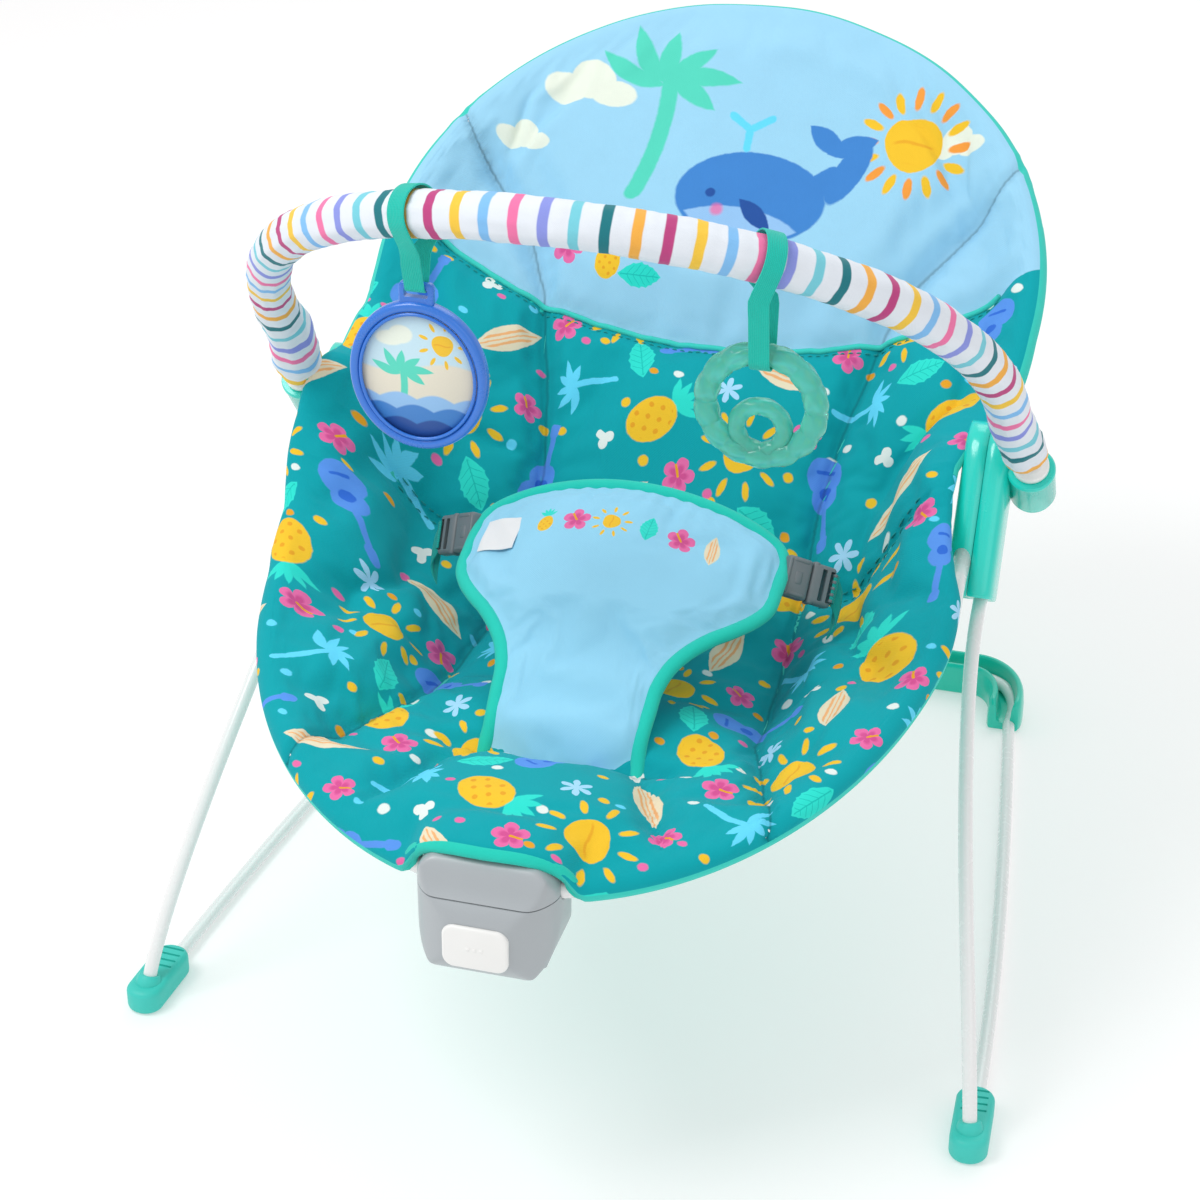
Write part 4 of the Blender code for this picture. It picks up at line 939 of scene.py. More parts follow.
SAG_AT = (-0.31, -0.27, -0.22, -0.165, -0.10, -0.05, 0.0, 0.05, 0.10, 0.20, 0.27, 0.33, 0.35)
SAG_BY = (-0.021, -0.012, 0.010, 0.034, 0.066, 0.078, 0.078, 0.070, 0.056, 0.034, 0.020, 0.006, 0.0)


def half_width(s):
    if s > BACK_STRAIGHT:
        return BACK_HALF * math.sqrt(max(0.0, 1 - ((s - BACK_STRAIGHT) / BACK_HALF) ** 2))
    if s < -SEAT_STRAIGHT:
        return SEAT_HALF * math.sqrt(max(0.0, 1 - ((-SEAT_STRAIGHT - s) / SEAT_NOSE) ** 2))
    return SEAT_HALF + (BACK_HALF - SEAT_HALF) * (s + SEAT_STRAIGHT) / (BACK_STRAIGHT + SEAT_STRAIGHT)


def outline_loop(inset):
    """The seat's outline as a closed list of (x, s), anticlockwise from the right side."""
    loop = []
    for k in range(61):
        a = math.pi * k / 60
        loop.append((math.cos(a) * (BACK_HALF - inset), BACK_STRAIGHT + math.sin(a) * (BACK_HALF - inset)))
    for k in range(61):
        a = math.pi + math.pi * k / 60
        loop.append((math.cos(a) * (SEAT_HALF - inset), -SEAT_STRAIGHT + math.sin(a) * (SEAT_NOSE - inset)))
    for k in range(1, 12):
        t = k / 12
        half = SEAT_HALF + (BACK_HALF - SEAT_HALF) * t - inset
        loop.append((half, -SEAT_STRAIGHT + (BACK_STRAIGHT + SEAT_STRAIGHT) * t))
    for k in range(1, 12):
        t = 1 - k / 12
        half = SEAT_HALF + (BACK_HALF - SEAT_HALF) * t - inset
        loop.append((-half, -SEAT_STRAIGHT + (BACK_STRAIGHT + SEAT_STRAIGHT) * t))
    return loop


PAD_MIDDLE = 0.02
ARCH_HALF, ARCH_HEIGHT = 0.0425, 0.0245

# beside the hubs the cover's edge leaves the tubes: on the right it is drawn in beside the hub, and on
# the left it is pulled out across the hub's front; both are stretched straight between the two tubes
FREE_AT = (-0.105, -0.06, -0.03, 0.0, 0.015, 0.03, 0.045, 0.06, 0.105)
FREE_OUT = {1: (0.0, 0.0000, -0.0110, -0.0175, -0.0190, -0.0185, -0.0150, -0.0090, 0.0),
            -1: (0.0, 0.0060, 0.0130, 0.0140, 0.0120, 0.0080, 0.0040, 0.0020, 0.0)}
FREE_UP = {1: (0.0, 0.0070, 0.0150, 0.0220, 0.0240, 0.0240, 0.0210, 0.0150, 0.0),
           -1: (0.0, 0.0120, 0.0210, 0.0340, 0.0400, 0.0430, 0.0360, 0.0230, 0.0)}


def smoothstep(low, high, value):
    t = min(1.0, max(0.0, (value - low) / (high - low)))
    return t * t * (3 - 2 * t)


def beside_hub(x, s):
    """1 where the cover's edge is free beside a hub, and 0 where it wraps the tube."""
    if abs(x) < 0.12:
        return 0.0
    return smoothstep(-0.095, -0.055, s) * (1 - smoothstep(0.055, 0.095, s))


def over_unit(x, s):
    """How far the cover's edge is lifted off the tube where it arches over the vibration unit."""
    arch = max(0.0, 1 - abs(x / ARCH_HALF) ** 3.0) ** 0.5
    return ARCH_HEIGHT * arch * (1 - smoothstep(-0.27, -0.22, s))


def free_shape(table, x, s):
    if abs(x) < 0.12:
        return 0.0
    return float(np.interp(s, FREE_AT, table[1 if x > 0 else -1]))


def cover_edge():
    """The line that the cover's edge wraps round, as (x, s) by angle about the cover's middle."""
    loop = np.array([(x + math.copysign(1.0, x) * free_shape(FREE_OUT, x, s), s)
                     for x, s in outline_loop(TUBE_INSET)])
    angle = np.arctan2(loop[:, 1] - PAD_MIDDLE, loop[:, 0])
    reach = np.hypot(loop[:, 0], loop[:, 1] - PAD_MIDDLE)
    order = np.argsort(angle)
    angle, reach = angle[order], reach[order]
    angle = np.concatenate((angle[-3:] - 2 * math.pi, angle, angle[:3] + 2 * math.pi))
    return angle, np.concatenate((reach[-3:], reach, reach[:3]))


EDGE_ANGLE, EDGE_REACH = cover_edge()


def edge_at(angle, share=1.0):
    """The (x, s) point at an angle, a share of the way from the cover's middle to its edge line."""
    reach = float(np.interp(angle, EDGE_ANGLE, EDGE_REACH)) * share
    return reach * math.cos(angle), PAD_MIDDLE + reach * math.sin(angle)


def edge_height(x, s):
    """The height of the edge line over the seat plane: on the tube, over the unit, or stretched free."""
    return over_unit(x, s) + free_shape(FREE_UP, x, s)


def wrap_radius(x, s):
    return 0.0076 - 0.0034 * max(beside_hub(x, s), over_unit(x, s) / ARCH_HEIGHT)


def cover_height(x, s, gap):
    """The cover's height over the seat plane; gap is the distance from its edge line."""
    depth = float(np.interp(s, SAG_AT, SAG_BY))
    share = min(1.0, abs(x) / max(half_width(s), 0.001))
    inside = -depth * (1 - share ** 2.6) + 0.006 * (1 - share)
    at_edge = edge_height(x, s) + wrap_radius(x, s)
    share = 1 - smoothstep(0.0, 0.034 + 0.026 * beside_hub(x, s), gap)
    return inside + (at_edge - inside) * share


ARC_LOW, ARC_BEND = 0.131, 1.22


def seam_lines():
    """The cover's seams as lists of (x, s)."""
    stations = np.linspace(SEAM_S[0], SEAM_S[-1], 60)
    widths = np.interp(stations, SEAM_S, SEAM_X)
    kernel = np.array([1, 2, 3, 2, 1]) / 9
    widths[2:-2] = np.convolve(widths, kernel, mode="valid")
    lines = {}
    for side, sign in SIDES:
        lines[f"long_{side}"] = [(sign * x, s) for x, s in zip(widths, stations)]
        lines[f"dart_{side}"] = [(sign * x, 0.004 + (x - 0.135) * 0.25)
                                 for x in np.linspace(0.098, 0.158, 10)]
        lines[f"crease_{side}"] = [(sign * x, s) for x, s in
                                   ((0.004, -0.190), (0.020, -0.190), (0.042, -0.193), (0.057, -0.212),
                                    (0.068, -0.244), (0.078, -0.268))]
    lines["roll"] = [(x, -0.1900 + 0.2 * x * x) for x in np.linspace(-0.060, 0.060, 13)]
    lines["arc"] = [(x, ARC_LOW + ARC_BEND * x * x) for x in np.linspace(-0.172, 0.172, 61)]
    return lines


SEAMS = seam_lines()


def distance_to(points, line):
    """The distance of each (x, s) point to a line of (x, s) points."""
    best = np.full(len(points), 1e9)
    line = np.array(line)
    for a, b in zip(line, line[1:]):
        d = b - a
        t = np.clip(((points - a) @ d) / (d @ d), 0, 1)
        best = np.minimum(best, np.linalg.norm(points - a - t[:, None] * d, axis=1))
    return best


def seam_depth(points, width):
    """How far each (x, s) point is sewn down, from 0 to 1."""
    depth = np.zeros(len(points))
    for name, line in SEAMS.items():
        strength = {"long": 1.0, "arc": 0.55, "dart": 0.8, "crease": 0.9, "roll": 1.0}[name.split("_")[0]]
        depth = np.maximum(depth, strength * np.exp(-(distance_to(points, line) / width) ** 2))
    return depth


def seat_cover():
    """The quilted cover: its face, its roll round the frame and its underside, as one closed mesh."""
    across, along = 84, 124
    grid, flats, ups, gaps = [], [], [], []
    for j in range(along + 1):
        b = 2 * j / along - 1
        for i in range(across + 1):
            a = 2 * i / across - 1
            u, v = a * math.sqrt(1 - b * b / 2), b * math.sqrt(1 - a * a / 2)
            angle, share = math.atan2(v, u), math.hypot(u, v)
            x, s = edge_at(angle, share)
            ex, es = edge_at(angle)
            gap = math.hypot(ex - x, es - s)
            flats.append((x, s))
            gaps.append(gap)
            ups.append(lift(s))
            grid.append(chord(s) + Vector((x, 0, 0)) + lift(s) * cover_height(x, s, gap))
    count = len(grid)
    flats = np.array(flats)
    pinned = seam_depth(flats, 0.0085)
    for k in range(count):
        grid[k] = grid[k] - ups[k] * 0.0095 * float(pinned[k]) * smoothstep(0.008, 0.034, gaps[k])

    def index(i, j):
        return j * (across + 1) + i

    rim = [index(i, 0) for i in range(across)] + [index(across, j) for j in range(along)]
    rim += [index(i, along) for i in range(across, 0, -1)] + [index(0, j) for j in range(along, 0, -1)]
    verts = list(grid)
    places = [tuple(p) for p in flats]
    faces, finish_of = [], []
    for j in range(along):
        for i in range(across):
            faces.append((index(i, j), index(i + 1, j), index(i + 1, j + 1), index(i, j + 1)))
            finish_of.append(0)
    ring = rim
    for turn in (62, 34, 8, -18, -44, -68):
        new_ring = []
        for n, k in enumerate(rim):
            x, s = flats[k]
            before, after = flats[rim[n - 1]], flats[rim[(n + 1) % len(rim)]]
            out = np.array((after[1] - before[1], before[0] - after[0]))
            out = out / np.linalg.norm(out)
            slope = (chord(s + 0.001) - chord(s - 0.001)).normalized()
            outward = (Vector((out[0], 0, 0)) + slope * out[1]).normalized()
            r = wrap_radius(x, s)
            core = chord(s) + Vector((x, 0, 0)) + lift(s) * edge_height(x, s)
            a = math.radians(turn)
            verts.append(core + outward * r * math.cos(a) + lift(s) * r * math.sin(a))
            reach = 0.0076 * math.radians(90 - turn)
            places.append((x + out[0] * reach, s + out[1] * reach))
            new_ring.append(len(verts) - 1)
        for n in range(len(rim)):
            m = (n + 1) % len(rim)
            faces.append((ring[n], new_ring[n], new_ring[m], ring[m]))
            print_ends = 40 if flats[rim[n]][1] > 0.02 else 0
            finish_of.append(0 if turn > print_ends else 1)
        ring = new_ring
    start = len(verts)
    for k in range(count):
        x, s = flats[k]
        angle = math.atan2(s - PAD_MIDDLE, x)
        ex, es = edge_at(angle)
        gap = math.hypot(ex - x, es - s)
        share = 1 - smoothstep(0.0, 0.034, gap)
        low = cover_height(x, s, gap) - 0.0115 * (1 - share) - 2 * wrap_radius(x, s) * share
        verts.append(chord(s) + Vector((x, 0, 0)) + ups[k] * low)
        places.append((x, s))
    for j in range(along):
        for i in range(across):
            corners = (index(i, j), index(i, j + 1), index(i + 1, j + 1), index(i + 1, j))
            faces.append(tuple(start + c for c in corners))
            finish_of.append(2)
    for n in range(len(rim)):
        m = (n + 1) % len(rim)
        faces.append((ring[n], start + rim[n], start + rim[m], ring[m]))
        finish_of.append(1)
    cover = mesh_of("seat_cover", verts, faces, PRINTED, EDGE_CLOTH, UNDER_CLOTH)
    cover.data.polygons.foreach_set("material_index", finish_of)
    set_flat(cover, places)
    face_up(cover)
    weights = np.ones(len(verts))
    for k in range(count):
        x, s = flats[k]
        ex, es = edge_at(math.atan2(s - PAD_MIDDLE, x))
        gap = math.hypot(ex - x, es - s)
        hold = max(float(pinned[k]), 1 - smoothstep(0.002, 0.016, gap))
        weights[k] = hold
        weights[start + k] = max(hold, 0.55)
    puffed(cover, weights, pressure=7.0, shrink=-0.036, cap=0.0130)
    subdivided(cover)
    carve(cover)
    return finished(cover, "seat", "teal_print", "seat_pad")


def puffed(piece, weights, pressure, shrink, cap, frames=18):
    """Blows a closed cloth form up a little between its pinned seams, and keeps the result."""
    group = piece.vertex_groups.new(name="held")
    for k, weight in enumerate(weights):
        if weight > 0.01:
            group.add([k], float(min(1.0, weight)), "REPLACE")
    before = np.empty(len(piece.data.vertices) * 3)
    piece.data.vertices.foreach_get("co", before)
    before = before.reshape(-1, 3)
    change = piece.modifiers.new("cloth", "CLOTH")
    settings = change.settings
    settings.quality = 5
    settings.mass = 0.25
    settings.tension_stiffness = settings.compression_stiffness = 18
    settings.shear_stiffness = 8
    settings.bending_stiffness = 0.12
    settings.use_pressure = True
    settings.uniform_pressure_force = pressure
    settings.shrink_min = shrink
    settings.vertex_group_mass = "held"
    settings.effector_weights.gravity = 0.0
    change.collision_settings.use_collision = False
    change.point_cache.frame_start = 1
    change.point_cache.frame_end = frames
    scene = bpy.context.scene
    for step in range(1, frames + 1):
        scene.frame_set(step)
    bpy.context.view_layer.update()
    graph = bpy.context.evaluated_depsgraph_get()
    after = np.empty(len(piece.data.vertices) * 3)
    piece.evaluated_get(graph).data.vertices.foreach_get("co", after)
    after = after.reshape(-1, 3)
    move = after - before
    far = np.linalg.norm(move, axis=1)
    move *= np.minimum(1.0, cap / np.maximum(far, 1e-9))[:, None]
    piece.modifiers.clear()
    piece.data.vertices.foreach_set("co", (before + move).ravel())
    piece.data.update()
    piece.vertex_groups.clear()
    scene.frame_set(1)


def flat_of(piece):
    """Each vertex's flat coordinates, read back from the piece's UV map."""
    layer = piece.data.uv_layers["flat"]
    uv = np.empty(len(piece.data.loops) * 2)
    layer.data.foreach_get("uv", uv)
    corner = np.empty(len(piece.data.loops), dtype=np.int32)
    piece.data.loops.foreach_get("vertex_index", corner)
    places = np.zeros((len(piece.data.vertices), 2))
    places[corner] = uv.reshape(-1, 2)
    return places


def carve(cover):
    """Presses the sewn lines into the cover's face, with small puckers beside them."""
    places = flat_of(cover)
    mesh = cover.data
    co = np.empty(len(mesh.vertices) * 3)
    mesh.vertices.foreach_get("co", co)
    co = co.reshape(-1, 3)
    normal = np.empty(len(mesh.vertices) * 3)
    mesh.vertices.foreach_get("normal", normal)
    normal = normal.reshape(-1, 3)
    on_face = normal[:, 2] > 0.1
    fine = seam_depth(places, 0.0022)
    wide = seam_depth(places, 0.014)
    pucker = np.array([noise.noise(Vector((x * 95, s * 95, 3.0)))
                       + 0.5 * noise.noise(Vector((x * 190, s * 190, 7.0))) for x, s in places])
    swell = np.array([noise.noise(Vector((x * 22, s * 22, 11.0))) for x, s in places])
    move = -0.0026 * fine + 0.0016 * (wide - fine) * pucker + 0.0008 * swell
    co += normal * (move * on_face)[:, None]
    mesh.vertices.foreach_set("co", co.ravel())
    mesh.update()


def on_surface(tree, x, s, proud):
    """The point of the cover's finished face at (x, s), and the way up from it."""
    up = lift(s)
    start = chord(s) + Vector((x, 0, 0)) + up * 0.06
    hit, normal, _, _ = tree.ray_cast(start, -up, 0.20)
    if hit is None:
        return None, None
    if normal.dot(up) < 0:
        normal = -normal
    return hit + normal * proud, normal


def stitches(name, tree, line, offset, finish, length=0.0030, gap=0.0018, radius=0.00042):
    """A run of thread stitches along a line of the cover, to one side of it."""
    line = [Vector((x, s, 0)) for x, s in line]
    spaced, carried = [], 0.0
    for a, b in zip(line, line[1:]):
        d = (b - a).length
        way = (b - a).normalized()
        side = Vector((-way.y, way.x, 0)) * offset
        while carried < d:
            spaced.append((a + way * carried + side, way))
            carried += length + gap
        carried -= d
    verts, faces = [], []
    for p, way in spaced:
        row = []
        for t in (-0.5, -0.25, 0.0, 0.25, 0.5):
            q = p + way * length * t
            spot, normal = on_surface(tree, q.x, q.y, radius * (1.5 - 8 * t * t))
            if spot is None:
                break
            row.append((spot, normal))
        if len(row) < 5:
            continue
        along = (row[-1][0] - row[0][0]).normalized()
        base = len(verts)
        for n, (spot, normal) in enumerate(row):
            side = along.cross(normal).normalized()
            thick = radius * (0.75 if n in (0, 4) else 1.0)
            for k in range(6):
                a = 2 * math.pi * k / 6
                verts.append(spot + side * thick * math.cos(a) + normal * thick * math.sin(a))
        for n in range(4):
            for k in range(6):
                m = (k + 1) % 6
                faces.append((base + n * 6 + k, base + n * 6 + m, base + n * 6 + 6 + m, base + n * 6 + 6 + k))
        faces.append(tuple(base + k for k in range(6)))
        faces.append(tuple(base + 24 + k for k in reversed(range(6))))
    piece = mesh_of(name, verts, faces, finish)
    return face_up(piece)


def cover_trim(cover):
    """The piping on the arc seam and the rows of stitching beside the seams."""
    bm = bmesh.new()
    bm.from_mesh(cover.data)
    from_cover = BVHTree.FromBMesh(bm)
    bm.free()
    path = []
    for x, s in SEAMS["arc"]:
        spot, _ = on_surface(from_cover, x, s, 0.0010)
        if spot is not None:
            path.append(spot)
    piping = swept("arc_piping", smooth_path(path, 2), ring_section(0.0017, 12), PIPING)
    finished(piping, "seat", "teal_print")
    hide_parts("seat_pad")
    runs = []
    for side, _ in SIDES:
        runs.append((SEAMS[f"dart_{side}"], 0.0028))
        runs.append((SEAMS[f"dart_{side}"], -0.0028))
    runs.append((SEAMS["arc"], -0.0045))
    for n, (line, offset) in enumerate(runs):
        thread = stitches(f"cover_stitches_{n + 1}", from_cover, line, offset, THREAD)
        finished(thread, "seat", "teal_print")


def arch_binding():
    """The mint binding round the cover's opening above the vibration unit."""
    path = []
    start = math.atan2(-0.300 - PAD_MIDDLE, ARCH_HALF + 0.0035)
    for k in range(61):
        angle = start + (-math.pi - 2 * start) * k / 60
        x, s = edge_at(angle)
        slope = (chord(s - 0.001) - chord(s + 0.001)).normalized()
        core = chord(s) + Vector((x, 0, 0)) + lift(s) * edge_height(x, s)
        path.append(core + slope * 0.0030)
    facing = [Vector((0, -0.94, 0.34))] * len(path)
    piece = ribbon_tube("arch_binding", path, facing, (0.0036, 0.0030), BINDING, closed=False)
    return finished(piece, "seat", "teal_print")


# ---------------------------------------------------------------- harness
HARNESS_LENGTH = 0.182


def harness_width(t):
    stations = (0.0, 0.14, 0.30, 0.41, 0.52, 0.62, 0.71, 0.84, 1.0)
    widths = (0.041, 0.041, 0.043, 0.049, 0.064, 0.080, 0.088, 0.0895, 0.088)
    return float(np.interp(t, stations, widths))


def harness_outline():
    """The harness panel's outline as (x, t), smoothed, anticlockwise from its crotch end."""
    heights = (0.02, 0.12, 0.22, 0.30, 0.38, 0.45, 0.52, 0.58, 0.65, 0.72, 0.80, 0.88)
    right = [(harness_width(t), t) for t in heights]
    right += [(0.0875, 0.935), (0.081, 0.972), (0.062, 0.992), (0.030, 0.999)]
    loop = [(0.0, 0.0), (0.022, 0.0)] + right + [(0.0, 1.0)]
    loop += [(-x, t) for x, t in reversed(right)] + [(-0.022, 0.0)]
    smoothed = closed_curve([(x, t * HARNESS_LENGTH) for x, t in loop], 8)
    return [(x, y / HARNESS_LENGTH) for x, y in smoothed]


def harness_point(x, t):
    low, high = at(0, 0.0235, 0.1870), at(0, 0.185, 0.2715)
    bow = 0.010 * math.sin(math.pi * t)
    rise = (high - low).normalized()
    out = Vector((0, -rise.z, rise.y))
    wrap = -3.2 * x * x * (0.3 + 0.7 * t)
    sink = Vector((0, 0.0010, -0.0080)) * (1 - smoothstep(0.0, 0.16, t))
    return low + (high - low) * t + out * (bow + wrap) + Vector((x, 0, 0)) - rise * 1.1 * x * x + sink


def harness_normal(x, t):
    along = harness_point(x, t + 0.01) - harness_point(x, t - 0.01)
    across = harness_point(x + 0.002, t) - harness_point(x - 0.002, t)
    return across.cross(along).normalized()


def harness():
    """The padded panel, its binding and its blank label."""
    loop = harness_outline()
    middle = (0.0, 0.55)
    angles = np.array([math.atan2((t - middle[1]) * HARNESS_LENGTH, x) for x, t in loop])
    reaches = np.array([math.hypot(x, (t - middle[1]) * HARNESS_LENGTH) for x, t in loop])
    order = np.argsort(angles)
    angles, reaches = angles[order], reaches[order]
    angles = np.concatenate((angles[-3:] - 2 * math.pi, angles, angles[:3] + 2 * math.pi))
    reaches = np.concatenate((reaches[-3:], reaches, reaches[:3]))
    across = 46
    verts, places, weights = [], [], []
    rim = []
    for sign in (1, -1):
        for j in range(across + 1):
            b = 2 * j / across - 1
            for i in range(across + 1):
                a = 2 * i / across - 1
                u, v = a * math.sqrt(1 - b * b / 2), b * math.sqrt(1 - a * a / 2)
                angle, share = math.atan2(v, u), math.hypot(u, v)
                reach = float(np.interp(angle, angles, reaches)) * share
                x, t = reach * math.cos(angle), middle[1] + reach * math.sin(angle) / HARNESS_LENGTH
                gap = float(np.interp(angle, angles, reaches)) * (1 - share)
                crown = 0.0016 + 0.0026 * smoothstep(0.0, 0.020, gap)
                gather = 0.0012 * math.sin(x * 640) * smoothstep(0.70, 0.98, t)
                gather *= smoothstep(0.001, 0.010, gap)
                height = -0.0030 + sign * crown + (gather if sign > 0 else 0.0)
                verts.append(harness_point(x, t) + harness_normal(x, t) * height)
                places.append((x, t * HARNESS_LENGTH))
                weights.append(1 - smoothstep(0.0015, 0.010, gap) if sign > 0 else 0.9)
    side_count = (across + 1) ** 2

    def index(i, j):
        return j * (across + 1) + i

    faces = []
    for j in range(across):
        for i in range(across):
            faces.append((index(i, j), index(i + 1, j), index(i + 1, j + 1), index(i, j + 1)))
            faces.append(tuple(side_count + k for k in (index(i, j), index(i, j + 1), index(i + 1, j + 1),
                                                        index(i + 1, j))))
    rim = [index(i, 0) for i in range(across)] + [index(across, j) for j in range(across)]
    rim += [index(i, across) for i in range(across, 0, -1)] + [index(0, j) for j in range(across, 0, -1)]
    for n, k in enumerate(rim):
        m = rim[(n + 1) % len(rim)]
        faces.append((k, side_count + k, side_count + m, m))
    panel = mesh_of("harness_pad", verts, faces, HARNESS_CLOTH)
    set_flat(panel, places)
    face_up(panel)
    puffed(panel, weights, pressure=2.5, shrink=-0.045, cap=0.0045)
    subdivided(panel)
    finished(panel, "seat", "sky_fabric", "harness_panel")

    edge = [harness_point(x, t) - harness_normal(x, t) * 0.0030 for x, t in loop]
    normals = [harness_normal(x, t) for x, t in loop]
    binding = ribbon_tube("harness_binding", edge, normals, (0.0042, 0.0036), BINDING)
    finished(binding, "seat", "mint_strap")
    blank_label()
    return panel


def ribbon_tube(name, path, normals, size, finish, closed=True, count=14):
    """A soft binding: an oval section that keeps one side to the given normals."""
    verts, flats = [], []
    total = 0.0
    for n, p in enumerate(path):
        if closed:
            tangent = (path[(n + 1) % len(path)] - path[n - 1]).normalized()
        else:
            tangent = (path[min(n + 1, len(path) - 1)] - path[max(n - 1, 0)]).normalized()
        total += (p - path[n - 1]).length if n else 0.0
        side = tangent.cross(normals[n]).normalized()
        for k in range(count):
            a = 2 * math.pi * k / count
            verts.append(p + side * size[0] * math.cos(a) + normals[n] * size[1] * math.sin(a))
            flats.append((size[0] * a, total))
    faces = []
    rows = len(path)
    for n in range(rows if closed else rows - 1):
        m = (n + 1) % rows
        for k in range(count):
            j = (k + 1) % count
            faces.append((n * count + k, n * count + j, m * count + j, m * count + k))
    if not closed:
        faces.append(tuple(range(count)))
        faces.append(tuple((rows - 1) * count + k for k in reversed(range(count))))
    piece = mesh_of(name, verts, faces, finish)
    set_flat(piece, flats)
    return face_up(piece)


def thin_sheet(name, rows, thick, finish, closed=False, rounded=True):
    """A strip or sheet from rows of points, given a thickness, with its flat coordinates in metres."""
    width = len(rows[0])
    verts = [p for row in rows for p in row]
    flats = []
    total = 0.0
    for n, row in enumerate(rows):
        if n:
            total += (row[width // 2] - rows[n - 1][width // 2]).length
        across = 0.0
        for j, p in enumerate(row):
            if j:
                across += (p - row[j - 1]).length
            flats.append((across, total))
    faces = []
    for n in range(len(rows) if closed else len(rows) - 1):
        m = (n + 1) % len(rows)
        for j in range(width - 1):
            faces.append((n * width + j, n * width + j + 1, m * width + j + 1, m * width + j))
    piece = mesh_of(name, verts, faces, finish)
    set_flat(piece, flats)
    body = piece.modifiers.new("thickness", "SOLIDIFY")
    body.thickness = thick
    body.offset = 0.0
    if rounded:
        edge = piece.modifiers.new("edge", "BEVEL")
        edge.width = thick * 0.45
        edge.segments = 3
        edge.limit_method = "ANGLE"
        edge.angle_limit = math.radians(50)
    apply_all(piece)
    return face_up(piece)


def blank_label():
    """The blank care label, which lies flat on the harness panel's top left corner."""
    wide, tall = 0.0210, 0.0240
    rows = []
    for i in range(15):
        row = []
        for j in range(9):
            x = -0.0770 + wide * j / 8
            t = 0.725 + (tall * i / 14 + 0.8 * (x * x - 0.068 ** 2)) / HARNESS_LENGTH
            curl = 0.0005 * math.sin(j * 0.9 + i * 0.35)
            row.append(harness_point(x, t) + harness_normal(x, t) * (0.0034 + curl))
        rows.append(row)
    label = thin_sheet("blank_label", rows, 0.0006, LABEL_CLOTH)
    return finished(label, "seat", "white_label", "care_label")


# ---------------------------------------------------------------- buckles and waist straps
BUCKLE_OUT = Vector((0.80, 0.42, -0.42)).normalized()
BUCKLE_AT = (0.094, 0.172, 0.2335)


def axis_turn(direction, side=(0, 0, 1)):
    z_axis = Vector(direction).normalized()
    y_axis = z_axis.cross(Vector(side)).normalized()
    x_axis = y_axis.cross(z_axis)
    return Matrix((x_axis, y_axis, z_axis)).transposed().to_4x4()


def buckle_frame(sign, along):
    out = Vector((sign * BUCKLE_OUT.x, BUCKLE_OUT.y, BUCKLE_OUT.z))
    start = at(sign * BUCKLE_AT[0], BUCKLE_AT[1], BUCKLE_AT[2])
    return Matrix.Translation(start + out * along) @ axis_turn(out, (0, -0.62, -0.78))


def block(size, place, finish, bevel=0.001, segments=3):
    bpy.ops.mesh.primitive_cube_add(size=1.0)
    piece = bpy.context.object
    piece.data.transform(Matrix.Diagonal((*size, 1.0)))
    piece.data.materials.append(finish)
    edge = piece.modifiers.new("edge", "BEVEL")
    edge.width = bevel
    edge.segments = segments
    apply_all(piece)
    piece.data.transform(place)
    piece.data.shade_smooth()
    return piece


def joined(name, members):
    bm = bmesh.new()
    finishes = []
    for member in members:
        for finish in member.data.materials:
            if finish not in finishes:
                finishes.append(finish)
        offset = finishes.index(member.data.materials[0])
        mesh = member.data.copy()
        mesh.transform(member.matrix_world)
        mesh.polygons.foreach_set("material_index", [offset] * len(mesh.polygons))
        bm.from_mesh(mesh)
        bpy.data.meshes.remove(mesh)
    mesh = bpy.data.meshes.new(name)
    bm.to_mesh(mesh)
    bm.free()
    for member in members:
        bpy.data.objects.remove(member, do_unlink=True)
    mesh.shade_smooth()
    mesh.set_sharp_from_angle(angle=math.radians(38))
    return link(name, mesh, *finishes)


def boolean(target, tool, operation="DIFFERENCE"):
    change = target.modifiers.new("cut", "BOOLEAN")
    change.operation = operation
    change.solver = "EXACT"
    change.object = tool
    apply_all(target)
    bpy.data.objects.remove(tool, do_unlink=True)
    return target


def slid(frame_matrix, x, y, z):
    return frame_matrix @ Matrix.Translation((x, y, z))


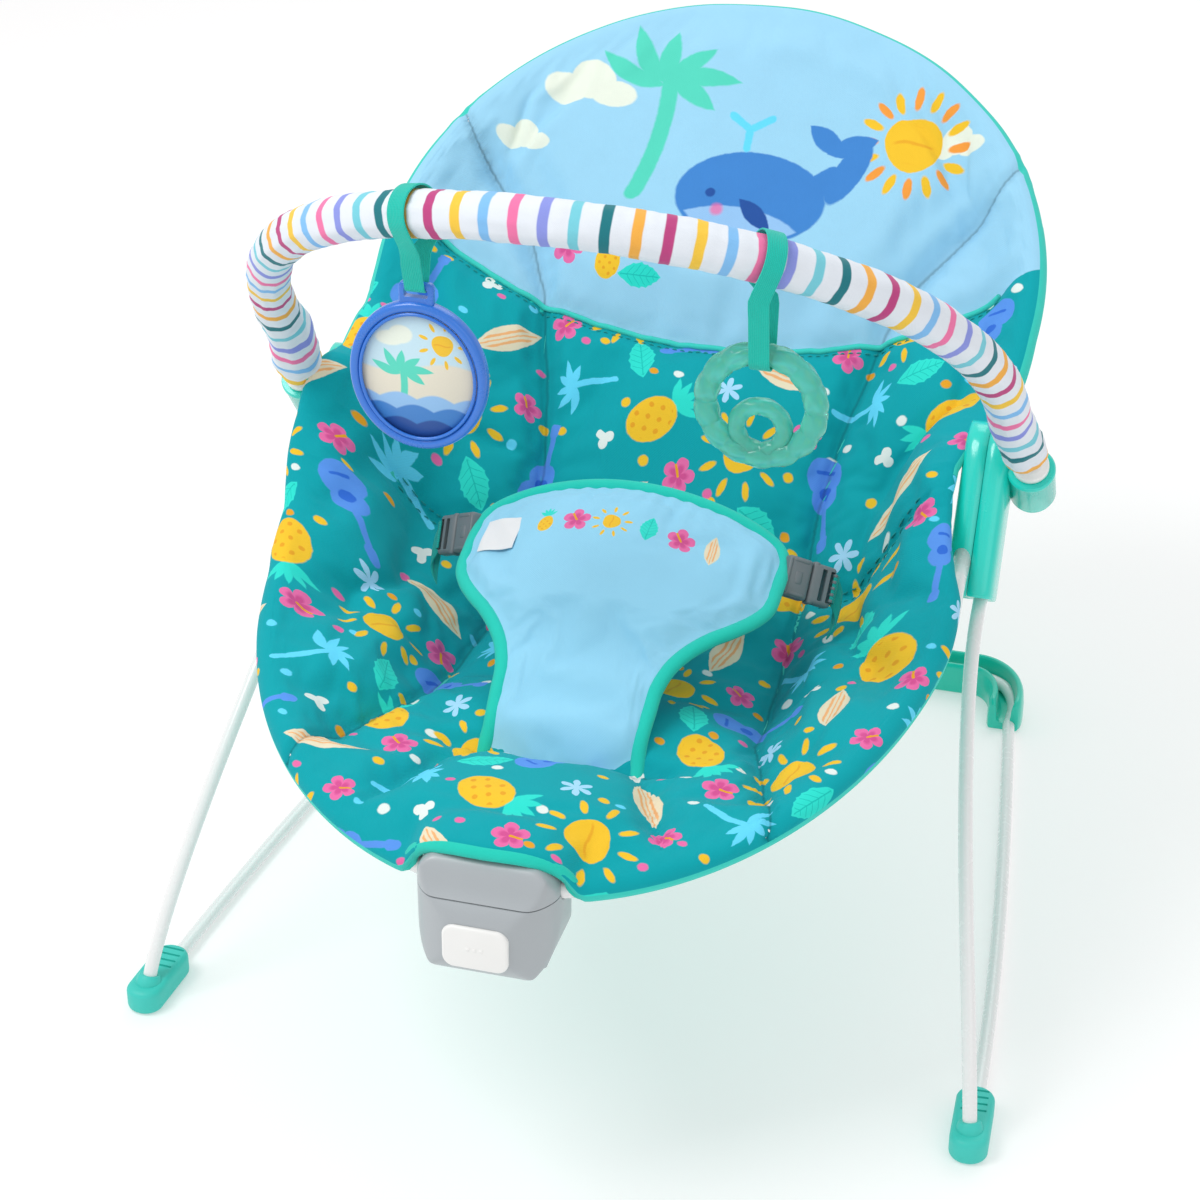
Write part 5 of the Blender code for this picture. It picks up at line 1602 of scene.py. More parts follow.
def buckles(side, sign):
    base = buckle_frame(sign, 0.0)
    female = block((0.0230, 0.0085, 0.0150), slid(base, 0, 0, 0.0005), BUCKLE, 0.0020, 4)
    boolean(female, block((0.0186, 0.0050, 0.0160), slid(base, 0, 0, 0.0045), BUCKLE, 0.0006, 2))
    parts = [female]
    for e in (-1, 1):
        parts.append(block((0.0022, 0.0093, 0.0100), slid(base, e * 0.0095, 0, 0.0008), BUCKLE, 0.0009))
    parts.append(block((0.0200, 0.0094, 0.0022), slid(base, 0, 0, -0.0058), BUCKLE, 0.0009))
    parts.append(block((0.0080, 0.0092, 0.0050), slid(base, 0, 0, 0.0005), BUCKLE, 0.0012))
    piece = joined(f"buckle_socket_{side}", parts)
    finished(piece, "seat", "buckle_plastic", f"buckle_female_{side}")

    male = block((0.0230, 0.0075, 0.0150), slid(base, 0, 0, 0.0160), BUCKLE, 0.0022, 4)
    for e in (-1, 1):
        groove_at = slid(base, 0, 0, 0.0185 + e * 0.0026)
        boolean(male, block((0.0180, 0.0200, 0.0030), groove_at, BUCKLE, 0.0006, 2))
    parts = [male]
    for e in (-1, 1):
        parts.append(block((0.0034, 0.0034, 0.0120), slid(base, e * 0.0068, 0, 0.0046), BUCKLE, 0.0012))
        parts.append(block((0.0045, 0.0070, 0.0040), slid(base, e * 0.0098, 0, 0.0108), BUCKLE, 0.0015))
    parts.append(block((0.0034, 0.0034, 0.0120), slid(base, 0, 0, 0.0046), BUCKLE, 0.0009))
    for n in range(5):
        tooth = slid(base, -0.0072 + 0.0036 * n, -0.0032, 0.0226)
        parts.append(block((0.0019, 0.0030, 0.0022), tooth, BUCKLE, 0.0006, 2))
    parts.append(block((0.0190, 0.0046, 0.0014), slid(base, 0, 0.0016, 0.0112), BUCKLE, 0.0006, 2))
    piece = joined(f"buckle_plug_{side}", parts)
    finished(piece, f"buckle_{side}", "buckle_plastic", f"buckle_male_{side}")


def waist_strap(side, sign):
    turn = buckle_frame(sign, 0.0247)
    top, low = turn.translation, at(sign * 0.1140, 0.1755, 0.2045)
    across = turn.to_3x3() @ Vector((1, 0, 0))
    rows = []
    for i in range(25):
        t = i / 24
        mid = top.lerp(low, t) + Vector((sign * 0.004 * math.sin(math.pi * t), 0, 0))
        row = []
        for j in range(9):
            e = j / 4 - 1
            row.append(mid + across * (0.0085 * e) + Vector((sign, 0, 0)) * 0.0006 * (1 - e * e))
        rows.append(row)
    strap = thin_sheet(f"waist_webbing_{side}", rows, 0.0013, WEBBING)
    loop = []
    for i in range(13):
        a = math.radians(-20 + 220 * i / 12)
        place = slid(buckle_frame(sign, 0.0), 0, 0.00375 * math.cos(a), 0.0228 + 0.0030 * math.sin(a))
        mid = place.translation
        loop.append([mid + across * (0.0080 * (j / 4 - 1)) for j in range(9)])
    turn_piece = thin_sheet(f"webbing_turn_{side}", loop, 0.0012, WEBBING)
    finished(turn_piece, f"buckle_{side}", "teal_webbing")
    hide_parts(f"waist_strap_{side}")
    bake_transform(strap)


# ---------------------------------------------------------------- wire base, tubes and hubs
def wires():
    z = 0.0045
    rod_side = bezier(at(FOOT_X, 0.006, BOOT_ROD_Z), at(0.228, 0.15, z), at(0.206, 0.30, z),
                      at(REAR_X + 0.007, REAR_Y - 0.046, z), 34)
    corner = [at(REAR_X + 0.007 - 0.030 * (1 - math.cos(math.radians(a))),
                 REAR_Y - 0.030 + 0.030 * math.sin(math.radians(a)), z + 0.006 * min(1, a / 45))
              for a in range(0, 91, 6)]
    floor_run = rod_side + corner + [at(0.11, REAR_Y, z + 0.006), at(0.0015, REAR_Y, z + 0.006)]
    exit_at = at(0.1935, 0.1985, 0.2205)
    leg_run = [exit_at + HUB_AXIS * 0.030, exit_at + HUB_AXIS * 0.008]
    leg_run += bezier(exit_at, at(0.1938, 0.120, 0.187), at(0.2280, 0.022, 0.072),
                      at(FOOT_X, 0.0005, 0.0125), 44)
    for side, sign in SIDES:
        floor_wire = swept(f"floor_wire_{side}", mirrored(floor_run, sign), ring_section(WIRE_R, 20), WIRE,
                           first_side=(0, 0, 1))
        finished(floor_wire, "base", "white_wire", f"floor_rod_{side}")
        leg_wire = swept(f"leg_wire_{side}", mirrored(leg_run, sign), ring_section(WIRE_R, 20), WIRE)
        finished(leg_wire, "seat", "white_wire", f"leg_rod_{side}")
    back = [chord(0.012) + Vector((HUB_X, 0, 0))]
    seat = [chord(-0.012) + Vector((0.1822, 0, -0.0005)), chord(-0.035) + Vector((0.1828, 0, 0))]
    for angle in np.linspace(0, 90, 40):
        x = math.cos(math.radians(angle)) * (BACK_HALF - TUBE_INSET)
        s = BACK_STRAIGHT + math.sin(math.radians(angle)) * (BACK_HALF - TUBE_INSET)
        back.append(chord(s) + Vector((x, 0, 0)))
    for angle in np.linspace(2, 90, 44):
        x = math.cos(math.radians(angle)) * (SEAT_HALF - TUBE_INSET)
        s = -SEAT_STRAIGHT - math.sin(math.radians(angle)) * (SEAT_NOSE - TUBE_INSET)
        seat.append(chord(s) + Vector((x, 0, 0)))
    for name, half in (("back_frame_tube", back), ("seat_frame_tube", seat)):
        run = half + mirrored(half[:-1], -1)[::-1]
        tube = swept(f"{name}_finished", run, ring_section(TUBE_R, 20), WIRE, first_side=(0, 1, 1))
        finished(tube, "seat", "white_wire", name)
    return seat + mirrored(seat[:-1], -1)[::-1]


def hub_place(sign, x, along=0.0, forward=0.0):
    centre = at(sign * x, HUB_Y, HUB_Z) + HUB_AXIS * along + HUB_FRONT * forward
    turn = Matrix((HUB_FRONT, HUB_AXIS, Vector((sign, 0, 0)))).transposed().to_4x4()
    return Matrix.Translation(centre) @ turn


def hub_shell_form(sign):
    """The hub's outer form: a channel with rounded edges, a round top and a raised ridge along its front."""
    half, top_round = HUB_DEPTH / 2, HUB_DEPTH / 2
    low, high = -HUB_LENGTH / 2, HUB_LENGTH / 2
    stations = [low, low + 0.0006, low + 0.0018, low + 0.005, -0.030, -0.015, 0.0, 0.015, 0.0255]
    stations += [high - top_round + top_round * math.sin(math.radians(a))
                 for a in (12, 24, 36, 48, 60, 70, 79, 86)]
    around = 48
    verts, faces = [], []
    for n, station in enumerate(stations):
        over = max(0.0, station - (high - top_round)) / top_round
        depth = half * math.sqrt(max(0.0, 1 - over * over))
        pull = 0.0009 if n == 0 else (0.0003 if n == 1 else 0.0)
        depth = max(depth - pull, 0.0006)
        width = (HUB_WIDTH / 2 - pull) * (1 - 0.10 * over * over)
        for k in range(around):
            a = 2 * math.pi * k / around
            c, sn = math.cos(a), math.sin(a)
            power = 2 / 4.2
            f = math.copysign(abs(c) ** power, c) * depth
            w = math.copysign(abs(sn) ** power, sn) * width
            ridge = 0.0008 * math.exp(-(w / 0.0040) ** 2) * (1 - over) if f > 0 else 0.0
            verts.append((f - (0.0009 - ridge) * (1 if f > 0 else 0), station, w))
    for n in range(len(stations) - 1):
        for k in range(around):
            j = (k + 1) % around
            faces.append((n * around + k, n * around + j, (n + 1) * around + j, (n + 1) * around + k))
    faces.append(tuple(range(around)))
    faces.append(tuple((len(stations) - 1) * around + k for k in range(around)))
    form = mesh_of("hub_form", verts, faces, MINT)
    form.data.transform(hub_place(sign, HUB_X))
    return face_up(form)


def rounded_prism(points, thickness, place, finish, bevel=0.0, segments=3):
    """A flat outline in local X and Y, extruded evenly each way along local Z, with rounded edges."""
    bm = bmesh.new()
    face = bm.faces.new([bm.verts.new((x, y, -thickness / 2)) for x, y in points])
    extruded = bmesh.ops.extrude_face_region(bm, geom=[face])
    bmesh.ops.translate(bm, vec=(0, 0, thickness),
                        verts=[v for v in extruded["geom"] if isinstance(v, bmesh.types.BMVert)])
    bmesh.ops.recalc_face_normals(bm, faces=bm.faces)
    mesh = bpy.data.meshes.new("prism")
    bm.to_mesh(mesh)
    bm.free()
    piece = link("prism", mesh, finish)
    if bevel:
        edge = piece.modifiers.new("edge", "BEVEL")
        edge.width = bevel
        edge.segments = segments
        edge.limit_method = "ANGLE"
        edge.angle_limit = math.radians(50)
        apply_all(piece)
    piece.data.transform(place)
    piece.data.shade_smooth()
    return piece


def turned(name, profile, place, finish, steps=48):
    """A profile of (radius, height) points turned about local Z."""
    verts, faces = [], []
    for r, h in profile:
        for k in range(steps):
            a = 2 * math.pi * k / steps
            verts.append((max(r, 0.00002) * math.cos(a), max(r, 0.00002) * math.sin(a), h))
    for n in range(len(profile) - 1):
        for k in range(steps):
            j = (k + 1) % steps
            faces.append((n * steps + k, n * steps + j, (n + 1) * steps + j, (n + 1) * steps + k))
    faces.append(tuple(range(steps)))
    faces.append(tuple((len(profile) - 1) * steps + k for k in range(steps)))
    piece = mesh_of(name, verts, faces, finish)
    piece.data.transform(place)
    piece.data.set_sharp_from_angle(angle=math.radians(50))
    return face_up(piece)


def arc(cx, cy, radius, start, end, steps):
    angles = [math.radians(start + (end - start) * i / steps) for i in range(steps + 1)]
    return [(cx + radius * math.cos(a), cy + radius * math.sin(a)) for a in angles]


def rounded_rectangle(half_x, half_y, radius, steps=8):
    points = []
    for sx, sy, start in ((1, 1, 0), (-1, 1, 90), (-1, -1, 180), (1, -1, 270)):
        points += arc(sx * (half_x - radius), sy * (half_y - radius), radius, start, start + 90, steps)[:-1]
    return points


def cross_screw(name, place, radius, finish):
    """A round screw head with a cross recess, its top at local Z 0 and facing +Z."""
    profile = [(0.0, -0.0016), (radius, -0.0016), (radius, -0.0007), (radius * 0.85, -0.0002), (0.0, 0.0)]
    head = turned(name, profile, place, finish, 28)
    for size in ((radius * 1.15, radius * 0.26, 0.0018), (radius * 0.26, radius * 1.15, 0.0018)):
        boolean(head, block(size, place, finish, 0.00008, 1))
    head.data.set_sharp_from_angle(angle=math.radians(35))
    return head


def hubs():
    for side, sign in SIDES:
        form = hub_shell_form(sign)
        socket = at(sign * SOCKET_X, SOCKET_Y, SOCKET_Z)
        cup_turn = Matrix.Translation(socket) @ axis_turn(CUP_AXIS, (1, 0, 0))
        cup = turned("cup", [(0.0, -0.0340), (CUP_R - 0.0042, -0.0338), (CUP_R - 0.0014, -0.0322),
                             (CUP_R - 0.0003, -0.0290), (CUP_R - 0.0002, -0.0040), (CUP_R + 0.0002, -0.0032),
                             (CUP_R + 0.0002, -0.0012), (CUP_R - 0.0006, -0.0002), (0.0, 0.0)],
                     cup_turn, MINT, 56)
        boolean(form, cup, "UNION")
        cavity = rounded_prism(
            arc(0.0, HUB_LENGTH / 2 - HUB_DEPTH / 2, HUB_DEPTH / 2 - 0.0024, 0, 180, 24)
            + [(-HUB_DEPTH / 2 + 0.0024, -HUB_LENGTH / 2 - 0.004),
               (HUB_DEPTH / 2 - 0.0024, -HUB_LENGTH / 2 - 0.004)],
            HUB_WIDTH - 0.0052, hub_place(sign, HUB_X), MINT)
        boolean(form, cavity)
        bore = turned("bore", [(0.0, -0.0265), (0.0088, -0.0265), (0.0088, -0.0010), (0.0098, 0.0008),
                               (0.0098, 0.0060), (0.0, 0.0060)], cup_turn, MINT, 40)
        boolean(form, bore)
        # the open back of the channel, where both tubes and the leg come out
        mouth = hub_place(sign, HUB_X, -0.010, -0.0190)
        boolean(form, block((0.0200, 0.0700, HUB_WIDTH - 0.0080), mouth, MINT, 0.0040, 4))
        form.data.shade_smooth()
        form.data.set_sharp_from_angle(angle=math.radians(40))
        inner = form.copy()
        inner.data = form.data.copy()
        bpy.context.scene.collection.objects.link(inner)
        wide = 0.0800
        for shell, name, way in ((form, "outer", 1), (inner, "inner", -1)):
            half_space = hub_place(sign, HUB_X + way * (wide / 2 + 0.0002))
            slab = block((0.2, 0.3, wide), half_space, MINT, 0.00001, 1)
            boolean(shell, slab, "INTERSECT")
            shell.name = f"hub_{name}_shell_{side}"
            finished(shell, "seat", "mint_plastic", f"hub_{name}_{side}")
        for label, along, forward in (("upper", 0.031, 0.004), ("lower", -0.034, -0.0125)):
            spot = hub_place(sign, HUB_X - HUB_WIDTH / 2 + 0.0006, along, forward).translation
            place = Matrix.Translation(spot) @ axis_turn((-sign, 0, 0), (0, 0, 1))
            head = cross_screw(f"hub_screw_head_{label}_{side}", place, 0.0028, STEEL)
            finished(head, "seat", "screw_steel")


# ---------------------------------------------------------------- feet and rear support
def front_feet():
    for side, sign in SIDES:
        turn = Matrix.Translation(at(sign * (FOOT_X - 0.0005), 0.0125, 0.0075)) @ \
            Matrix.Rotation(math.radians(3.5 * sign), 4, "Z")
        foot = rounded_prism(rounded_rectangle(0.0105, 0.0255, 0.0100, 10), 0.0150, turn, RUBBER, 0.0036, 5)
        collar_base = at(sign * FOOT_X, 0.0006, 0.0125)
        aim = (at(sign * 0.2280, 0.022, 0.072) - collar_base).normalized()
        collar = turned("collar", [(0.0, -0.006), (0.0078, -0.006), (0.0074, 0.0010), (0.0064, 0.0040),
                                   (0.0056, 0.0050), (0.0, 0.0050)],
                        Matrix.Translation(collar_base + aim * 0.001) @ axis_turn(aim, (1, 0, 0)), RUBBER, 32)
        boolean(foot, collar, "UNION")
        for n in range(4):
            rib_at = turn @ Matrix.Translation((0, 0.0035 + 0.0055 * n, 0.0070))
            boolean(foot, block((0.0140, 0.0016, 0.0022), rib_at, RUBBER, 0.0005, 2))
        foot.name = f"rubber_boot_{side}"
        foot.data.set_sharp_from_angle(angle=math.radians(45))
        finished(foot, "base", "mint_rubber", f"front_foot_{side}")


def rear_support():
    """The moulded channel on the floor: two lips with the rods lying between them."""
    half, turn = SUPPORT_HALF, 0.036
    middle = []
    for y in np.linspace(-0.046, -0.036, 4):
        middle.append((half - 0.0100, y))
    middle += [(half - turn + (turn - 0.0100) * math.cos(a), -turn + (turn + 0.0015) * math.sin(a))
               for a in np.linspace(0.06, math.pi / 2, 14)]
    middle += [(x, 0.0015) for x in np.linspace(half - turn - 0.012, 0.010, 12)]
    middle += [(-x, y) for x, y in reversed(middle)]
    z0 = 0.0008
    path = [at(x, REAR_Y + y, z0) for x, y in middle]
    h, wide, groove = SUPPORT_HEIGHT, 0.0112, 0.0062
    section = [(-wide + 0.001, 0.0), (wide - 0.001, 0.0), (wide, 0.0012), (wide, h * 0.55),
               (wide - 0.0006, h - 0.0030), (wide - 0.0014, h - 0.0010), (wide - 0.0026, h),
               (groove + 0.0010, h), (groove + 0.0001, h - 0.0008), (groove - 0.0004, h - 0.0030),
               (groove - 0.0012, 0.0085), (groove - 0.0028, 0.0058), (0.0, 0.0050)]
    section += [(-a, b) for a, b in reversed(section[2:-1])]
    verts, faces = [], []
    count = len(section)
    for n, p in enumerate(path):
        tangent = (path[min(n + 1, len(path) - 1)] - path[max(n - 1, 0)]).normalized()
        side = tangent.cross(Vector((0, 0, 1))).normalized()
        from_end = min(n, len(path) - 1 - n)
        size = (0.86, 0.97)[from_end] if from_end < 2 else 1.0
        for a, b in section:
            verts.append(p + side * a * size + Vector((0, 0, b * size)))
    for n in range(len(path) - 1):
        for k in range(count):
            j = (k + 1) % count
            faces.append((n * count + k, n * count + j, (n + 1) * count + j, (n + 1) * count + k))
    faces.append(tuple(range(count)))
    faces.append(tuple((len(path) - 1) * count + k for k in range(count)))
    support = mesh_of("rear_channel", verts, faces, SUPPORT_MINT)
    face_up(support)
    edge = support.modifiers.new("edge", "BEVEL")
    edge.width = 0.0007
    edge.segments = 3
    edge.limit_method = "ANGLE"
    edge.angle_limit = math.radians(35)
    apply_all(support)
    support.data.shade_smooth()
    support.data.set_sharp_from_angle(angle=math.radians(50))
    finished(support, "base", "mint_plastic", "rear_support")


# ---------------------------------------------------------------- toy bar and toys
def bar_point(share):
    on_left = share > 0.5
    t = 2 * (1 - share if on_left else share)
    split = 0.20
    if t < split:
        x = SOCKET_X + (BAR_HALF - SOCKET_X) * t / split
        up = BAR_LEG * t / split
    else:
        angle = (t - split) / (1 - split) * math.pi / 2
        x = BAR_HALF * math.cos(angle) ** (2 / 2.06)
        up = BAR_LEG + BAR_RISE * math.sin(angle) ** (2 / 2.06)
    bow = BAR_BOW * (up / (BAR_LEG + BAR_RISE)) ** 2
    y = SOCKET_Y - math.cos(BAR_TILT) * up + math.sin(BAR_TILT) * bow
    z = SOCKET_Z + math.sin(BAR_TILT) * up + math.cos(BAR_TILT) * bow
    return at(-x if on_left else x, y, z)


def bar_at_x(x):
    low, high = 0.1, 0.9
    for _ in range(40):
        mid = (low + high) / 2
        if bar_point(mid).x > x:
            low = mid
        else:
            high = mid
    return bar_point((low + high) / 2)


def toy_bar():
    core = [bar_point(0.008 + 0.984 * i / 90) for i in range(91)]
    rod = swept("toy_bar_core", core, ring_section(0.0055, 20), WHITE, first_side=(0, 1, 0))
    finished(rod, "toy_bar", "white_plastic", "toy_bar_rod")

    steps, around = 620, 40
    shares = [0.020 + 0.960 * i / steps for i in range(steps + 1)]
    path = [bar_point(q) for q in shares]
    frames = frames_along(path, (0, 1, 0))
    lengths = [0.0]
    for a, b in zip(path, path[1:]):
        lengths.append(lengths[-1] + (b - a).length)
    total = lengths[-1]
    outer, inner, flats = [], [], []
    for p, (_, side, normal), d in zip(path, frames, lengths):
        left_end = smoothstep(total - 0.110, total - 0.020, d)
        right_end = 1 - smoothstep(0.015, 0.080, d)
        slack = 0.30 + 0.70 * max(left_end, right_end)
        tight = smoothstep(0.0, 0.006, d) * smoothstep(0.0, 0.006, total - d)
        base = 0.0117 + 0.0021 * left_end + 0.0005 * right_end
        for k in range(around):
            a = 2 * math.pi * k / around
            ring = noise.noise(Vector((math.cos(a) * 0.7, math.sin(a) * 0.7, d * 260)))
            broad = noise.noise(Vector((math.cos(a) * 1.6, math.sin(a) * 1.6, d * 62 + 9)))
            fold = noise.noise(Vector((math.cos(a) * 2.6, math.sin(a) * 2.6, d * 34 + 40)))
            r = base + slack * (0.0011 * ring + 0.0014 * broad) + 0.0008 * fold
            r = 0.0072 + (r - 0.0072) * tight
            way = side * math.cos(a) + normal * math.sin(a)
            outer.append(p + way * r)
            inner.append(p + way * (r - 0.0011))
            flats.append((0.0115 * a, d + 0.0003 * broad))
    verts, flats = outer + inner, flats + flats
    faces = []
    hollow = len(outer)
    for n in range(steps):
        for k in range(around):
            j = (k + 1) % around
            here = (n * around + k, n * around + j, (n + 1) * around + j, (n + 1) * around + k)
            faces.append(here)
            faces.append(tuple(hollow + v for v in reversed(here)))
    for row in (0, steps * around):
        for k in range(around):
            j = (k + 1) % around
            faces.append((row + k, row + j, hollow + row + j, hollow + row + k))
    sleeve = mesh_of("gathered_sleeve", verts, faces, SLEEVE_CLOTH)
    set_flat(sleeve, flats)
    face_up(sleeve)
    finished(sleeve, "toy_bar", "striped_sleeve", "toy_bar_sleeve")

    for side, sign in SIDES:
        mouth = at(sign * SOCKET_X, SOCKET_Y, SOCKET_Z)
        profile = [(0.0, -0.0260), (0.0068, -0.0260), (0.0080, -0.0252), (0.0085, -0.0238), (0.0085, -0.0030),
                   (0.0084, 0.0004), (0.0092, 0.0005), (0.0100, 0.0012), (0.0100, 0.0044), (0.0094, 0.0051),
                   (0.0078, 0.0053), (0.0071, 0.0060), (0.0064, 0.0062), (0.0, 0.0062)]
        plug = turned(f"bar_plug_{side}", profile, Matrix.Translation(mouth) @ axis_turn(CUP_AXIS, (1, 0, 0)),
                      WHITE, 48)
        finished(plug, "toy_bar", "white_plastic", f"toy_bar_plug_{side}")


def toy_strap(name, x, low, grip, body, replaced):
    """A webbing loop over the toy bar and round a toy's top."""
    hang = bar_at_x(x)
    lean_x = (bar_at_x(x + 0.004) - bar_at_x(x - 0.004)).normalized()
    lean_z = (Vector((0, 0, 1)) - lean_x * lean_x.z).normalized()
    lean_y = lean_z.cross(lean_x)
    reach = 0.0142
    top = arc(0.0, 0.0, reach, -15, 195, 30)
    bottom = arc(0.0, -low, grip, 180, 360, 16)
    loop = top
    for t in np.linspace(0.1, 0.9, 9):
        loop = loop + [(top[-1][0] + (bottom[0][0] - top[-1][0]) * t,
                        top[-1][1] + (bottom[0][1] - top[-1][1]) * t)]
    loop = loop + bottom
    for t in np.linspace(0.1, 0.9, 9):
        loop = loop + [(bottom[-1][0] + (top[0][0] - bottom[-1][0]) * t,
                        bottom[-1][1] + (top[0][1] - bottom[-1][1]) * t)]
    rows = []
    for y, z in loop:
        share = smoothstep(0.0, 1.0, (-z - 0.010) / 0.014)
        along = lean_x.lerp(Vector((1, 0, 0)), share).normalized()
        middle = hang + (lean_y * y + lean_z * z).lerp(Vector((0, y, z)), share)
        rows.append([middle + along * (0.0052 * (j / 3 - 1)) for j in range(7)])
    strap = thin_sheet(name, rows, 0.0010, STRAP_CLOTH, closed=True)
    length = sum((b[3] - a[3]).length for a, b in zip(rows, rows[1:] + rows[:1]))
    finished(strap, body, "mint_strap", replaced)


def oval(half_x, half_z, count):
    return [(half_x * math.cos(2 * math.pi * k / count), half_z * math.sin(2 * math.pi * k / count))
            for k in range(count)]


def mirror_toy():
    hang = bar_at_x(MIRROR_X)
    middle = hang - Vector((0, 0, MIRROR_DROP))
    half_x, half_z = MIRROR_HALF
    path = [middle + Vector((x, 0, z)) for x, z in oval(half_x - 0.0028, half_z - 0.0028, 96)]
    section = [(0.0028 * math.copysign(abs(math.cos(a)) ** 0.75, math.cos(a)),
                0.0040 * math.copysign(abs(math.sin(a)) ** 0.75, math.sin(a)))
               for a in (2 * math.pi * k / 24 for k in range(24))]
    normals = [Vector((0, -1, 0))] * len(path)
    verts, faces = [], []
    for n, p in enumerate(path):
        tangent = (path[(n + 1) % len(path)] - path[n - 1]).normalized()
        side = tangent.cross(normals[n]).normalized()
        for a, b in section:
            verts.append(p + side * a + normals[n] * b)
    for n in range(len(path)):
        m = (n + 1) % len(path)
        for k in range(24):
            j = (k + 1) % 24
            faces.append((n * 24 + k, n * 24 + j, m * 24 + j, m * 24 + k))
    ring = face_up(mesh_of("ring", verts, faces, BLUE))
    upright = Matrix.Rotation(math.radians(90), 4, "X")
    tab_at = Matrix.Translation(middle + Vector((0, 0, half_z + 0.0035)))
    tab = rounded_prism(rounded_rectangle(0.0090, 0.0065, 0.0026, 6), 0.0040, tab_at @ upright, BLUE, 0.0010)
    slot = rounded_prism(rounded_rectangle(0.00625, 0.00225, 0.0012, 5), 0.0200,
                         Matrix.Translation((0, 0, 0.0010)) @ tab_at @ upright, BLUE)
    boolean(tab, slot)
    bead = [middle + Vector((x, -0.0034, z)) for x, z in oval(half_x - 0.0062, half_z - 0.0062, 96)]
    rim = ribbon_tube("rim", bead, normals, (0.0009, 0.0009), BLUE, count=10)
    frame_piece = joined("mirror_surround", [ring, tab, rim])
    finished(frame_piece, "mirror_toy", "blue_plastic", "mirror_frame")

    plates = (("picture_card", -0.0011, PICTURE, "cream_card", "mirror_card"),
              ("mirror_face", 0.0009, MIRROR, "mirror_face", "mirror_sheet"))
    for name, offset, finish, slot_name, node in plates:
        place = Matrix.Translation(middle + Vector((0, offset, 0))) @ upright
        plate = rounded_prism(oval(half_x - 0.0052, half_z - 0.0052, 72), 0.0016, place, finish, 0.0002, 1)
        plate.name = name
        set_flat(plate, [(v.co.x - middle.x, v.co.z - middle.z) for v in plate.data.vertices])
        finished(plate, "mirror_toy", slot_name, node)
    toy_strap("mirror_webbing", MIRROR_X, MIRROR_DROP - half_z - 0.0089, 0.0036, "mirror_toy", "mirror_strap")


def teether_toy():
    hang = bar_at_x(TEETHER_X)
    middle = hang - Vector((0, 0, TEETHER_DROP))

    def knobbly(radius, tube, lobes, depth, centre, count=180, around=28):
        verts, faces = [], []
        for n in range(count):
            a = 2 * math.pi * n / count
            out = Vector((math.cos(a), 0, math.sin(a)))
            grow = 1 - depth + depth * abs(math.sin(a * lobes / 2)) ** 0.6
            p = centre + out * radius
            for k in range(around):
                b = 2 * math.pi * k / around
                twist = 0.05 * math.sin(6 * b + a * lobes)
                r = tube * grow * (1 + twist)
                verts.append(p + out * r * math.cos(b) + Vector((0, 1, 0)) * r * math.sin(b))
        for n in range(count):
            m = (n + 1) % count
            for k in range(around):
                j = (k + 1) % around
                faces.append((n * around + k, n * around + j, m * around + j, m * around + k))
        return face_up(mesh_of("knobbly", verts, faces, GEL))

    tube = 0.0062
    big = knobbly(TEETHER_R - tube, tube, 14, 0.16, middle)
    small = knobbly(0.0120, 0.0045, 8, 0.10, middle - Vector((0, 0, 0.0125)), 110, 22)
    teether = joined("teether_gel", [big, small])
    finished(teether, "teether_toy", "mint_gel", "teether_ring")
    toy_strap("teether_webbing", TEETHER_X, TEETHER_DROP - TEETHER_R + tube, tube + 0.0015, "teether_toy",
              "teether_strap")


